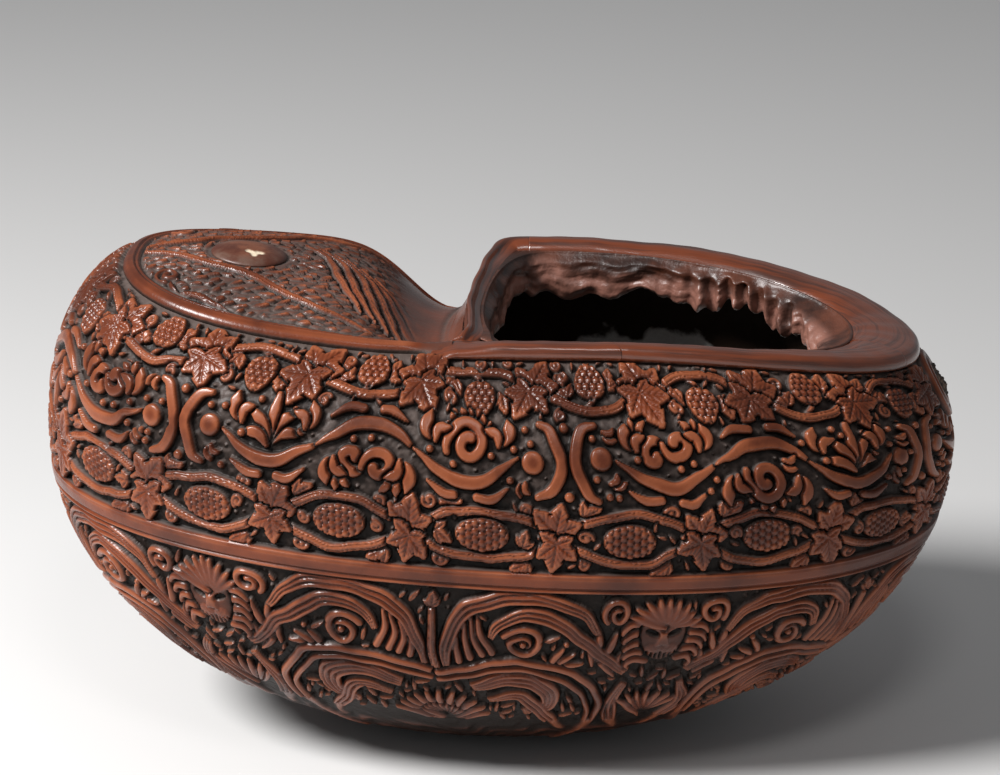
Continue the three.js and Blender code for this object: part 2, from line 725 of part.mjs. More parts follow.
function outsideRows() {
  const bands = [
    ...ribRows(keelFrame, KEEL_FRAME_WIDTH),
    ...ribRows(plume, PLUME_WIDTH),
    ...ribRows(() => 0, BELT_HEIGHT),
    ...stemRows(lowerStem(-1)),
    ...stemRows(lowerStem(1)),
    ...ribRows(scrollStem, SCROLL_WIDTH),
    ...stemRows(upperStem),
  ];
  const keel = [];
  for (let row = 0; row < KEEL_ROWS; row += 1) {
    const share = row / KEEL_ROWS;
    keel.push((along) => {
      const place = loopPlace(along);
      const { z } = bands[0](along);
      return columnPoint(place, lerp(-1, wayUp(place, 1, (p) => p.z < z), share));
    });
  }
  const overCore = (along) => {
    const place = loopPlace(along);
    return columnPoint(place, topWay(place) + BAND_OVERLAP);
  };
  const underCore = (along) => new THREE.Vector3(SPINE_SHARE * loopPlace(along).x, 0, CORE_ROOT);
  return [...keel, ...bands, overCore, underCore];
}

// The flank with its bands, over a core that carries the crest and the cleft
function carvedBody() {
  const columns = COLUMNS_PER_BUNCH * LOWER_BUNCHES;
  const rings = outsideRows().map((row) => {
    const ring = [];
    for (let column = 0; column < columns; column += 1) {
      ring.push(row((LOOP_LENGTH * column) / columns));
    }
    return ring;
  });
  const below = blockSolid(2 * LENGTH, 2 * WIDTH, LENGTH, new THREE.Vector3(0, 0, -LENGTH / 2));
  const core = nutSolid(coreSkin, CORE_STATIONS, CORE_SIDES).subtract(below);
  return solidFrom(loft(rings, "pinched")).add(core);
}

// Low pad with an oval outline, for a bunch or a mask
function pad(along, height, [halfWidth, halfHeight]) {
  const { out } = flankFrame(along, height);
  const ringAt = (share, rise) => {
    const ring = [];
    for (let side = 0; side < PAD_SIDES; side += 1) {
      const turn = (2 * Math.PI * side) / PAD_SIDES;
      const s = along + share * halfWidth * Math.cos(turn);
      const h = height + share * halfHeight * Math.sin(turn);
      ring.push(flankPoint(s, h).addScaledVector(out, rise));
    }
    return ring;
  };
  return solidFrom(loft([ringAt(1, -MOULDING_ROOT), ringAt(1 - FLARE / halfHeight, CARVING)]));
}

// Short rib across the bands
function bar(line, width) {
  const frames = line.map(([along, height]) => flankFrame(along, height));
  const outline = [
    [-width / 2, -MOULDING_ROOT],
    [-width / 2 + FLARE, CARVING],
    [width / 2 - FLARE, CARVING],
    [width / 2, -MOULDING_ROOT],
  ];
  const rings = frames.map(({ point, out }, i) => {
    const before = frames[Math.max(0, i - 1)].point;
    const after = frames[Math.min(frames.length - 1, i + 1)].point;
    const across = new THREE.Vector3().crossVectors(after.clone().sub(before), out).normalize();
    return outline.map(([a, b]) => point.clone().addScaledVector(across, a).addScaledVector(out, b));
  });
  return solidFrom(loft(rings));
}

function bunches() {
  const solids = [];
  for (let bunch = 0; bunch < 2 * UPPER_WAVES; bunch += 1) {
    const along = UPPER_START + (bunch * LOOP_LENGTH) / UPPER_WAVES / 2;
    const offset = bunch % 2 === 0 ? -UPPER_BUNCH_OFFSET : UPPER_BUNCH_OFFSET;
    solids.push(pad(along, UPPER_MIDDLE + offset, UPPER_BUNCH));
  }
  for (let bunch = 0; bunch < LOWER_BUNCHES; bunch += 1) {
    solids.push(pad(LOWER_START + (bunch * LOOP_LENGTH) / LOWER_BUNCHES, LOWER_MIDDLE, LOWER_BUNCH));
  }
  return solids;
}

// Pairs of brackets that part the cartouches
function brackets() {
  const solids = [];
  for (let pair = 0; pair < CARTOUCHES; pair += 1) {
    const middle = CARTOUCHE_START + (pair * LOOP_LENGTH) / CARTOUCHES;
    for (const side of [1, -1]) {
      const line = [-1, 0, 1].map((up) => [
        middle + side * (BRACKET_WAIST + BRACKET_FLARE * up * up),
        SCROLL_MIDDLE + BRACKET_HALF_HEIGHT * up,
      ]);
      solids.push(bar(line, SCROLL_WIDTH));
    }
  }
  return solids;
}

function masksAndStems() {
  const solids = [];
  for (let cell = 0; cell < FRIEZE_CELLS; cell += 1) {
    const mask = FRIEZE_START + (cell * LOOP_LENGTH) / FRIEZE_CELLS;
    const stem = mask + LOOP_LENGTH / FRIEZE_CELLS / 2;
    solids.push(pad(mask, -MASK_DROP, MASK));
    solids.push(bar([[stem, -PLUME_FOOT], [stem, -PLUME_TOP]], STEM_WIDTH));
  }
  return solids;
}

// Boss and plug: turned pieces let into sockets of the same profile

function turned(profile, point, out) {
  const lathe = new THREE.LatheGeometry(profile, ROUND_SIDES);
  const upright = new THREE.Quaternion().setFromUnitVectors(new THREE.Vector3(0, 1, 0), out);
  return solidFrom(lathe.applyQuaternion(upright).translate(point.x, point.y, point.z));
}

function bossProfile(grow, rise) {
  const head = BOSS_DIAMETER / 2 + grow;
  const shank = BOSS_SHANK_DIAMETER / 2 + grow;
  const under = -BOSS_SINK - grow;
  const profile = new THREE.Path();
  profile.moveTo(0, under - BOSS_SHANK);
  profile.lineTo(shank, under - BOSS_SHANK);
  profile.lineTo(shank, under);
  profile.lineTo(head, under);
  profile.lineTo(head, Math.max(0, rise - BOSS_RISE));
  profile.quadraticCurveTo(head, rise, head / 2, rise);
  profile.lineTo(0, rise);
  return profile.getPoints(4);
}

function plugProfile(grow, rise) {
  const radius = PLUG_DIAMETER / 2 + grow;
  const profile = new THREE.Path();
  profile.moveTo(0, -PLUG_DEPTH - grow);
  profile.lineTo(radius, -PLUG_DEPTH - grow);
  profile.lineTo(radius, 0);
  profile.quadraticCurveTo(radius * PLUG_SHOULDER, rise, 0, rise);
  return profile.getPoints(4);
}

const bossX = LOBE_END + BOSS_SETBACK;
const bossPoint = new THREE.Vector3(bossX, 0, carvedSkin.top(bossX, 0));
const bossOut = topNormal(bossX, 0);

// Where the tip's skin is at the plug's level, found from the middle of the mouth outwards
function plugX() {
  let inside = MOUTH_X;
  let outside = TIP_END;
  while (outside - inside > 1e-4) {
    const middle = (inside + outside) / 2;
    if (carvedSkin.top(middle, 0) > PLUG_LEVEL) {
      inside = middle;
    } else {
      outside = middle;
    }
  }
  return inside;
}

const plugPoint = new THREE.Vector3(plugX(), 0, PLUG_LEVEL);
const plugOut = topNormal(plugPoint.x, 0);

// Raised ring round the plug
function tipFrame() {
  const inner = PLUG_DIAMETER / 2;
  const outer = inner + TIP_FRAME_WIDTH;
  const ring = new THREE.Path();
  ring.moveTo(0, -MOULDING_ROOT);
  ring.lineTo(outer, -MOULDING_ROOT);
  ring.lineTo(outer, 0);
  ring.quadraticCurveTo(outer, TIP_FRAME_RISE, (inner + outer) / 2, TIP_FRAME_RISE);
  ring.lineTo(0, TIP_FRAME_RISE);
  return turned(ring.getPoints(2), plugPoint, plugOut);
}

function shell() {
  const foot = blockSolid(
    2 * LENGTH,
    2 * WIDTH,
    LENGTH,
    new THREE.Vector3(0, 0, -WIDEST_LEVEL - LENGTH / 2)
  );
  const raised = [lobeFrame(), tipFrame(), ...bunches(), ...brackets(), ...masksAndStems()];
  return raised
    .reduce((body, form) => body.add(form), carvedBody())
    .subtract(nutSolid(hollowSkin, HOLLOW_STATIONS, HOLLOW_SIDES))
    .subtract(mouthCutter())
    .subtract(mouthTrim())
    .subtract(foot)
    .subtract(turned(bossProfile(FIT, BOSS_DIAMETER), bossPoint, bossOut))
    .subtract(turned(plugProfile(FIT, PLUG_DIAMETER), plugPoint, plugOut));
}

// The assembly

const carvedNut = new THREE.MeshStandardMaterial({ color: 0x6a3a26, roughness: 0.42, metalness: 0 });
const rimWood = new THREE.MeshStandardMaterial({ color: 0x75432e, roughness: 0.35, metalness: 0 });
const husk = new THREE.MeshStandardMaterial({ color: 0x584038, roughness: 0.75, metalness: 0 });
const scar = new THREE.MeshStandardMaterial({ color: 0x4a3128, roughness: 0.85, metalness: 0 });

const kashkul = new THREE.Group();
kashkul.position.z = WIDEST_LEVEL;

function addPiece(name, solid, material) {
  const mesh = new THREE.Mesh(geometryFrom(solid), material);
  mesh.name = name;
  kashkul.add(mesh);
}

addPiece("shell", shell(), carvedNut);
addPiece("near_rim_left", nearRimLeft(), rimWood);
addPiece("near_rim_right", nearRimRight(), rimWood);
addPiece("far_rim", farRim(), rimWood);
addPiece("throat_lip", throatLip(), rimWood);
addPiece("mouth_lining", mouthLining(), husk);
addPiece("lobe_boss", turned(bossProfile(0, BOSS_RISE), bossPoint, bossOut), carvedNut);
addPiece("tip_plug", turned(plugProfile(0, PLUG_RISE), plugPoint, plugOut), scar);

export default kashkul;
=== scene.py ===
# %% [markdown]
# # A carved coco de mer bowl
# The bowl is one big nut shell, carved all over in low relief, with a few small pieces set on it: rim strips
# and a lip round the mouth, a leathery lining, a boss on the closed lobe and a plug on the tip.
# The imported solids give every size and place. This file gives the pieces their carving and their finish.

# %% Load the frame
import math

import bpy
import numpy as np
from mathutils import Matrix, Vector


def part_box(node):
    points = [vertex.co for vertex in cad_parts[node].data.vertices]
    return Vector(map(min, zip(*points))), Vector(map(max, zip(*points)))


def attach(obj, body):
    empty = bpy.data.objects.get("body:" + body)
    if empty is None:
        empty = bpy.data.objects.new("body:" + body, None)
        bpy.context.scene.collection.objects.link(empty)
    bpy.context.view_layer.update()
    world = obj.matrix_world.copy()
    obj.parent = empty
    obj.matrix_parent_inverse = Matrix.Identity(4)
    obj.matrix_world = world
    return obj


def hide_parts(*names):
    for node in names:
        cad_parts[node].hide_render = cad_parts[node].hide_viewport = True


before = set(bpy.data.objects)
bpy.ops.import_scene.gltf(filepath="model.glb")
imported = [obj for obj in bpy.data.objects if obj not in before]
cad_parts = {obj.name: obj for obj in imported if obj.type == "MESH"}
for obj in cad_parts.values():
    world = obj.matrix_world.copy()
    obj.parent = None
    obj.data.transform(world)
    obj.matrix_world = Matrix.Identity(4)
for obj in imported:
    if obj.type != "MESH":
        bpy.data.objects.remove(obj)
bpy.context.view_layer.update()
bpy.ops.object.select_all(action="DESELECT")
print("solids:", sorted(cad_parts))

# %% [markdown]
# ## The shape of the nut
# The nut is a free form: a plan like an egg, a keel below, a closed lobe on the left, an open mouth on the
# right and a cleft between the two. It could be sculpted, but a formula keeps it true to the solid in the
# frame. Lengths are in millimetres, x from the middle of the length and z from the widest level.

# %% Sizes of the nut
MM = 0.001


def solid_box(node):
    """Low and high corner of a solid."""
    return [np.array(corner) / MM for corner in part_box(node)]


shell_low, shell_high = solid_box("shell")
HALF_LENGTH = min(shell_high[0], -shell_low[0])
HALF_WIDTH = min(shell_high[1], -shell_low[1])
WIDEST_LEVEL = 94.8
PLAN_FULLNESS = 2.25
KEEL_DEPTH = 97.3
KEEL_FULLNESS = 2.05
KEEL_SECTION = 2.1
LOBE_CREST = 61.4
LOBE_CREST_X = -105
LOBE_FALL = 0.14
LOBE_FULLNESS = 8
LOBE_SECTION = 2.6
LOBE_RUN = (-40, 10)
MOUTH_X = 62.5
MOUTH_CREST = 58
MOUTH_FULLNESS = 3.2
MOUTH_SLIMMER = 0.55
CLEFT_X = -15
CLEFT_RUN = (20, 8)
CLEFT_NEAR = (-50, -34)
CLEFT_DEPTH = (12, 22)
CLEFT_SPAN = 92
SEAT_LEVEL = 41.5
SEAT_FALL = 18
SEAT_FALL_RUN = (20, 120)
WALL = 6.8
LOBE_WALL = 9.5
LOBE_WALL_RUN = (100, 136)
TIP_WALL = 16.5
TIP_WALL_RUN = (88, 134)
print("half length %.1f, half width %.1f" % (HALF_LENGTH, HALF_WIDTH))


# %% The skin formula
def smooth(value, low, high):
    """An eased step, from 0 at low to 1 at high."""
    share = np.clip((value - low) / (high - low), 0, 1)
    return share * share * (3 - 2 * share)


def dome(share, fullness):
    """A round hump, 1 in the middle and 0 at both ends."""
    return np.sqrt(np.clip(1 - np.abs(share) ** fullness, 0, None))


def dip(distance, width):
    """A soft line, 1 on it and fading beside it."""
    return np.exp(-(distance / width) ** 2)


def cleft(x, y, spread):
    run = np.where(x < CLEFT_X, CLEFT_RUN[0], CLEFT_RUN[1] + spread)
    depth = np.interp(y, (-CLEFT_SPAN / 2, CLEFT_SPAN / 2), CLEFT_DEPTH)
    return dip(x - CLEFT_X, run) * smooth(y, *CLEFT_NEAR) * depth


def skin(x, y, inset=0.0, mouth_inset=0.0, ends=(HALF_LENGTH, HALF_LENGTH), cleft_spread=0.0):
    """Heights of the upper and the lower skin over a plan point. Insets move it in, to the hollow's wall."""
    share = x / np.where(x < 0, *ends)
    half_width = np.maximum((HALF_WIDTH - inset) * dome(share, PLAN_FULLNESS), 1e-6)
    to_mouth = smooth(x, *LOBE_RUN)
    lobe = (LOBE_CREST - inset - LOBE_FALL * (x - LOBE_CREST_X)) * dome(share, LOBE_FULLNESS)
    mouth = (MOUTH_CREST - mouth_inset) * dome(share, MOUTH_FULLNESS)
    crest = lobe + (mouth - lobe) * to_mouth
    section = LOBE_SECTION - MOUTH_SLIMMER * to_mouth
    across = np.clip(np.abs(y) / half_width, 0, 1)
    rise = (1 - across ** section) ** (1 / section)
    top = crest * rise - cleft(x, y, cleft_spread) * np.minimum(1, 2 * rise)
    hang = (1 - across ** KEEL_SECTION) ** (1 / KEEL_SECTION)
    bottom = -(KEEL_DEPTH - inset) * dome(share, KEEL_FULLNESS) * hang
    return top, np.maximum(bottom, -WIDEST_LEVEL)


def seat_level(x):
    """Height of the mouth's rim seat, which falls away towards the tip."""
    start, run = SEAT_FALL_RUN
    return SEAT_LEVEL - SEAT_FALL * (np.maximum(0, x - start) / run) ** 2


def wall_at(x):
    """Thickness of the nut's wall, which grows towards both ends."""
    at_lobe = (LOBE_WALL - WALL) * smooth(-x, *LOBE_WALL_RUN)
    at_tip = (TIP_WALL - WALL) * smooth(x, *TIP_WALL_RUN)
    return WALL + at_lobe + at_tip


print("crest over the mouth %.1f mm" % skin(np.array(40.0), np.array(0.0))[0])

# %% [markdown]
# ## Unrolling the flank
# The carver worked in bands round the nut, so the flank is unrolled: columns run round the widest loop and
# rows run down the skin, measured along it from the plain belt. Each column follows the skin over and under,
# from the rim of the lobe or the mouth, across the belt, to a spine on the keel.

# %% Columns round the loop
CELL = 0.37
SLICES = 8
COARSE = 4
FINE_SAMPLES = 4000
SECTION_SAMPLES = 500
SPINE_SHARE = 0.45


def loop_columns():
    """Plan points at even steps round the widest loop, from the lobe's end along the near side."""
    turn = np.linspace(0, 2 * np.pi, 2 * FINE_SAMPLES + 1)
    x = -HALF_LENGTH * np.cos(turn)
    y = -np.sign(np.sin(turn)) * HALF_WIDTH * dome(x / HALF_LENGTH, PLAN_FULLNESS)
    steps = np.hypot(np.diff(x), np.diff(y))
    along = np.concatenate([[0], np.cumsum(steps)])
    count = SLICES * COARSE * round(along[-1] / CELL / SLICES / COARSE)
    places = np.arange(count) * along[-1] / count
    return places, np.interp(places, along, x), np.interp(places, along, y), along[-1]


COLUMN_AT, loop_x, loop_y, LOOP = loop_columns()


def on_section(signed):
    """Points on every column. The sign picks upper or lower skin, the size runs from loop to spine."""
    inward = signed ** 2
    x = loop_x[:, None] * (1 + (SPINE_SHARE - 1) * inward)
    y = loop_y[:, None] * (1 - inward)
    top, bottom = skin(x, y)
    return np.stack([x, y, np.where(signed >= 0, top, bottom)], axis=-1)


section_steps = np.linspace(-1, 1, 2 * SECTION_SAMPLES + 1)
sections = on_section(np.broadcast_to(section_steps, (len(loop_x), len(section_steps))))
section_moves = np.diff(sections, axis=1, prepend=sections[:, :1])
section_arcs = np.cumsum(np.linalg.norm(section_moves, axis=2), axis=1)
print("loop %.1f mm in %d columns" % (LOOP, len(COLUMN_AT)))

# %% Where the belt and the top edge cross each column
BELT_LEVEL = -17.5
BELT_FALL = -0.05
LOBE_BORDER = dict(middle=-30, reach=85, half_width=52, fullness=2.5)
NEAR_SWITCH = (-18, -8)
FAR_SWITCH = (-5, 3)
GROUND_DROP = 1.9


def in_border(x, y):
    """Below zero inside the border of the lobe's panel, above zero outside it."""
    reach = np.where(x < LOBE_BORDER["middle"], LOBE_BORDER["reach"], np.inf)
    power = LOBE_BORDER["fullness"]
    along = np.abs((x - LOBE_BORDER["middle"]) / reach) ** power
    return along + np.abs(y / LOBE_BORDER["half_width"]) ** power - 1


def crossing(values):
    """Arc length at which each column's values first turn from below zero to above it, seen from the loop."""
    upper = values[:, SECTION_SAMPLES:]
    first = np.argmax(upper > 0, axis=1)
    rows = np.arange(len(upper))
    low, high = upper[rows, first - 1], upper[rows, first]
    share = np.clip(-low / np.where(high == low, 1, high - low), 0, 1)
    arcs = section_arcs[:, SECTION_SAMPLES:]
    return arcs[rows, first - 1] + share * (arcs[rows, first] - arcs[rows, first - 1])


section_x, section_y, section_z = sections[..., 0], sections[..., 1], sections[..., 2]
at_border = crossing(-in_border(section_x, section_y))
at_seat = crossing(section_z - GROUND_DROP - seat_level(section_x))
to_seat = np.where(loop_y < 0, smooth(loop_x, *NEAR_SWITCH), smooth(loop_x, *FAR_SWITCH))
top_arc = at_border + (at_seat - at_border) * to_seat
over_level = section_z - (BELT_LEVEL + BELT_FALL * section_x)
belt_arc = np.array([np.interp(0, over, arcs) for over, arcs in zip(over_level, section_arcs)])
print("flank over the belt: %.1f to %.1f mm" % ((top_arc - belt_arc).min(), (top_arc - belt_arc).max()))

# %% Points of the flank
FLANK_TOP = 67
FLANK_FOOT = -62
BELT_HALF = 3.6
ROWS = COARSE * round((FLANK_TOP - FLANK_FOOT) / CELL / COARSE)
ROW_AT = np.linspace(FLANK_FOOT, FLANK_TOP, ROWS + 1)


def points_at(arcs):
    """Points on the skin at the given arc lengths, one row of lengths for each column."""
    signed = np.stack([np.interp(a, known, section_steps) for a, known in zip(arcs, section_arcs)])
    return on_section(signed)


def unit(vectors):
    """Vectors brought to a length of one."""
    return vectors / np.linalg.norm(vectors, axis=-1, keepdims=True)


def outward(points):
    """Unit normals of a grid of skin points, columns first, which closes on itself along the columns."""
    along = np.roll(points, -1, axis=0) - np.roll(points, 1, axis=0)
    normal = np.cross(along, np.gradient(points, axis=1))
    return normal / np.maximum(np.linalg.norm(normal, axis=2, keepdims=True), 1e-9)


stretch = ((top_arc - belt_arc) - BELT_HALF) / (FLANK_TOP - BELT_HALF)
over_belt = np.maximum(ROW_AT - BELT_HALF, 0)
flank_arcs = belt_arc[:, None] + np.minimum(ROW_AT, BELT_HALF) + over_belt * stretch[:, None]
flank = points_at(flank_arcs)
flank_normal = outward(flank)
print("flank grid", flank.shape)

# %% [markdown]
# ## A carver's kit
# The carving is flat ornament with steep sides on a sunk ground. Sculpting each leaf by hand would take days,
# so a small kit draws it: ribs that follow a path, and stamps for leaves, bunches and bosses. Every form cuts
# back what lies round it, so that it stands clear. The grid of the mesh is the drawing board.

# %% Tops of ribs, and their paths
STEP = 0.5
CURVE_STEPS = 16
SPIRAL_POINTS = 90
STEM_LINE = dict(place=0.42, width=0.13, depth=0.3)
DRIFT_ALONG = ((0.55, 29, 0.21, 0), (0.2, 71, -0.33, 1))
DRIFT_ACROSS = ((0.5, 23, 0.19, 2), (0.2, 61, 0.37, 0))


def flat_top(share):
    return smooth(1 - share, 0, 0.3)


def round_top(share):
    return np.sqrt(np.clip(1 - share * share, 0, 1))


def stem_top(share):
    """A stem with a line cut along each side of its back."""
    line = STEM_LINE["depth"] * dip(share - STEM_LINE["place"], STEM_LINE["width"])
    return smooth(1 - share, 0, 0.32) * (1 - line)


def even_steps(path):
    lengths = np.concatenate([[0], np.cumsum(np.linalg.norm(np.diff(path, axis=0), axis=1))])
    count = max(2, math.ceil(lengths[-1] / STEP) + 1)
    places = np.linspace(0, lengths[-1], count)
    return np.stack([np.interp(places, lengths, path[:, i]) for i in range(2)], axis=1)


def flowing(points):
    """A smooth curve through a few points, at even steps."""
    points = np.asarray(points, float)
    ends = np.concatenate([[2 * points[0] - points[1]], points, [2 * points[-1] - points[-2]]])
    t = np.linspace(0, 1, CURVE_STEPS, endpoint=False)[:, None]
    parts = []
    for a, b, c, d in zip(ends, ends[1:], ends[2:], ends[3:]):
        parts.append(b + t * (c - a) / 2 + t ** 2 * (2 * a - 5 * b + 4 * c - d) / 2
                     + t ** 3 * (3 * b - a - 3 * c + d) / 2)
    return even_steps(np.concatenate(parts + [points[-1:]]))


def spiral(centre, start, radius, turns, close=0.74):
    """A curve that rolls up. close is the share of the radius that it loses on the way."""
    turn = np.radians(start) + np.linspace(0, 2 * np.pi * turns, SPIRAL_POINTS)
    spread = radius * (1 - close * np.linspace(0, 1, SPIRAL_POINTS) ** 1.1)
    return even_steps(np.asarray(centre) + np.stack([spread * np.cos(turn), spread * np.sin(turn)], axis=1))


def pointing(degrees):
    angle = math.radians(degrees)
    return np.array([math.cos(angle), math.sin(angle)])


def turned(s, h, degrees):
    """Plan coordinates along a heading and across it."""
    c, d = pointing(degrees)
    return s * c + h * d, h * c - s * d


def drift(path, waves):
    """A sum of waves, each with a size, a count round the loop, a slant and a start."""
    turn = 2 * np.pi / LOOP
    s, h = path[:, 0], path[:, 1]
    return sum(size * np.sin(count * turn * s + slant * h + start) for size, count, slant, start in waves)


def unsteady_hand(path):
    """Small drifts of the chisel, the same at the two ends of the loop."""
    return path + np.stack([drift(path, DRIFT_ALONG), drift(path, DRIFT_ACROSS)], axis=1)


print("a turn of 5 mm takes %d steps" % len(spiral((0, 0), 0, 5, 1)))

# %% The carving board
RELIEF = 2.4
CHUNK = 14
PAD = 30
SIDE = 0.5
CUT_BACK = 1.2
FAR_OFF = -9.0
SEED = 11


class Carving:
    """Heights over an unrolled strip, rows across it and columns along it, in millimetres."""

    def __init__(self, along, across):
        self.along = along
        self.across = across
        self.height = np.zeros((len(across), len(along)))

    def patch(self, low, high):
        """The window of cells between two corners, and the places of those cells."""
        columns = slice(*np.searchsorted(self.along, (low[0], high[0])))
        rows = slice(*np.searchsorted(self.across, (low[1], high[1])))
        return (rows, columns), *np.meshgrid(self.along[columns], self.across[rows])

    def put(self, window, raised, inside, halo, gap=0.9):
        """Sets a form down. Where its edge is near, what was there before is cut back."""
        under = self.height[window] * (1 - halo * smooth(inside, -gap, -0.1))
        self.height[window] = np.where(inside > 0, np.maximum(raised, under * (1 - halo)), under)

    def rib(self, path, widths, height, shape=round_top, halo=0.7):
        """A rib along a path. It is measured a stretch at a time and set down once, as one form."""
        path = unsteady_hand(path)
        radius = np.interp(np.linspace(0, 1, len(path)), np.linspace(0, 1, len(widths)), widths)
        reach = radius.max() + CUT_BACK
        whole, grid, _ = self.patch(path.min(axis=0) - reach, path.max(axis=0) + reach)
        if not grid.size:
            return
        raised = np.zeros(grid.shape)
        inside = np.full(grid.shape, FAR_OFF)
        first_row, first_column = whole[0].start, whole[1].start
        for start in range(0, len(path) - 1, CHUNK):
            part, wide = path[start:start + CHUNK + 1], radius[start:start + CHUNK + 1]
            (rows, columns), s, h = self.patch(part.min(axis=0) - reach, part.max(axis=0) + reach)
            if not s.size:
                continue
            here = (slice(rows.start - first_row, rows.stop - first_row),
                    slice(columns.start - first_column, columns.stop - first_column))
            apart = np.hypot(s[..., None] - part[:, 0], h[..., None] - part[:, 1])
            nearest = np.argmin(apart - wide, axis=-1)
            apart = np.take_along_axis(apart, nearest[..., None], axis=-1)[..., 0]
            wide = wide[nearest]
            raised[here] = np.maximum(raised[here], height * shape(np.minimum(apart / wide, 1)))
            inside[here] = np.maximum(inside[here], wide - apart)
        self.put(whole, raised, inside, halo)

    def bold_rib(self, points, widths):
        """A flat, full-height stroke through a few points."""
        self.rib(flowing(points), widths, RELIEF, flat_top)

    def stamp(self, centre, reach, draw, halo=0.8):
        """A form in a window. draw gives its height and how far inside its edge each point is."""
        centre = unsteady_hand(np.asarray(centre, float)[None])[0]
        window, s, h = self.patch(centre - reach, centre + reach)
        if s.size:
            raised, inside = draw(s - centre[0], h - centre[1])
            self.put(window, raised, inside, halo)

    def boss(self, centre, radius, height=RELIEF):
        """A round button with an eased top."""
        def draw(s, h):
            inside = radius - np.hypot(s, h)
            top = 0.75 + 0.25 * round_top(1 - np.clip(inside / radius, 0, 1))
            return height * top * smooth(inside, 0, SIDE), inside
        self.stamp(centre, radius + 1, draw)


pad_cells = round(PAD / (LOOP / len(COLUMN_AT)))
padded_along = np.arange(-pad_cells, len(COLUMN_AT) + pad_cells) * LOOP / len(COLUMN_AT)
board = Carving(padded_along, ROW_AT)
chance = np.random.default_rng(SEED)
print("carving board", board.height.shape)

# %% Leaves
VINE_LEAF = ((0, 1.0), (58, 0.86), (-58, 0.86), (118, 0.62), (-118, 0.62))
LEAFLET = ((0, 1.0), (52, 0.72), (-52, 0.72))
LEAF_SIZES = (0.84, 1.1)
LEAF_TURN = 11
TEETH = 3.4
TOOTH_DEPTH = 0.24
VEIN = 0.3
SIDE_VEIN = 0.24
VEIN_PITCH = 0.2
VEIN_DEPTH = 0.6


def leaf(carving, base, heading, length, lobes=VINE_LEAF, height=2.25):
    """A vine leaf: pointed lobes with toothed edges and cut veins, fanned out from its stalk."""
    sizes = chance.uniform(*LEAF_SIZES, len(lobes))
    blades = [(heading + turn + chance.uniform(-LEAF_TURN, LEAF_TURN), length * share * size)
              for (turn, share), size in zip(lobes, sizes)]

    def draw(s, h):
        inside = np.full(s.shape, FAR_OFF)
        veins = np.zeros(s.shape)
        for turn, reach in blades:
            along, across = turned(s, h, turn)
            t = np.clip(along / reach, 0, 1)
            tooth = 1 - TOOTH_DEPTH * ((TEETH * t) % 1)
            half = 0.86 * reach * t ** 0.5 * (1 - t) ** 0.7 * tooth
            off_end = np.maximum(-along, along - reach)
            lobe = np.where(off_end > 0, -np.hypot(off_end, across), half - np.abs(across))
            side = ((along - 1.15 * np.abs(across)) / (VEIN_PITCH * reach)) % 1 - 0.5
            vein = dip(across, VEIN) + 0.55 * dip(side * VEIN_PITCH * reach, SIDE_VEIN)
            veins = np.where(lobe > inside, vein * smooth(t, 0.95, 0.6), veins)
            inside = np.maximum(inside, lobe)
        raised = height * smooth(inside, 0, SIDE) - VEIN_DEPTH * veins * smooth(inside, 0.1, 0.6)
        return np.maximum(raised, 0), inside

    carving.stamp(base, 1.1 * length + 1, draw)


DROP = dict(swell=1.3, foot=0.5, tip=0.7, low=2.1, rise=0, side=0.45, line=(0.5, 0.28), line_end=0.9, least=0,
            halo=0.5)


def small_leaf(carving, place, heading, length, width, make=DROP):
    """A small pointed form with a line cut down its middle. make says how full and how high it is."""
    line_depth, line_width = make["line"]

    def draw(s, h):
        along, across = turned(s, h, heading)
        t = np.clip(along / length + 0.5, 0, 1)
        half = make["swell"] * width * t ** make["foot"] * (1 - t) ** make["tip"]
        inside = np.minimum(half - np.abs(across), length / 2 - np.abs(along))
        line = line_depth * dip(across, line_width) * smooth(t, make["line_end"], 0.5)
        raised = (make["low"] + make["rise"] * t) * smooth(inside, 0, make["side"]) - line
        return np.maximum(raised, make["least"]), inside

    carving.stamp(place, length / 2 + 1, draw, make["halo"])


print("a vine leaf has %d lobes, a leaflet %d" % (len(VINE_LEAF), len(LEAFLET)))

# %% Bunches and tendrils
BERRY_ROW = 1.72
BERRY_WIDTH = 1.08


def bunch(carving, centre, heading, length, width, berry=1.2, taper=0.25, height=RELIEF):
    """A bunch of grapes: a low pad in the outline of a drop, packed with berries."""
    def draw(s, h):
        along, across = turned(s, h, heading)
        t = np.clip(2 * along / length, -1, 1)
        half = width / 2 * np.sqrt(1 - t * t) * (1 - taper * t)
        inside = np.minimum(half - np.abs(across), length / 2 - np.abs(along))
        row = np.round(along / (BERRY_ROW * berry))
        offset = (row % 2) * berry
        column = np.round((across - offset) / (2 * berry))
        apart = np.hypot(along - BERRY_ROW * berry * row, across - offset - 2 * berry * column)
        berries = round_top(np.minimum(apart / (BERRY_WIDTH * berry), 1))
        return height * (0.5 + 0.5 * berries) * smooth(inside, 0, SIDE), inside

    carving.stamp(centre, length / 2 + 1.5, draw)


def tendril(carving, centre, start, radius, turns, width=0.85, height=2.0):
    carving.rib(spiral(centre, start, radius, turns, 0.8), (width, width, 1.3 * width), height)


print("a bunch packs its rows %.2f berries apart" % (BERRY_ROW / 2))

# %% Filling the gaps
BARE = 0.3


def fill_gaps(carving, low, high, room, tries, form):
    """Sets a small form wherever a place of the given room is still bare."""
    made = 0
    along = chance.uniform(carving.along[0], carving.along[-1], tries)
    across = chance.uniform(low, high, tries)
    for s, h in zip(along, across):
        window, grid, _ = carving.patch((s - room, h - room), (s + room, h + room))
        if grid.size and carving.height[window].max() < BARE:
            form(carving, np.array([s, h]), chance.uniform(0, 360))
            made += 1
    return made


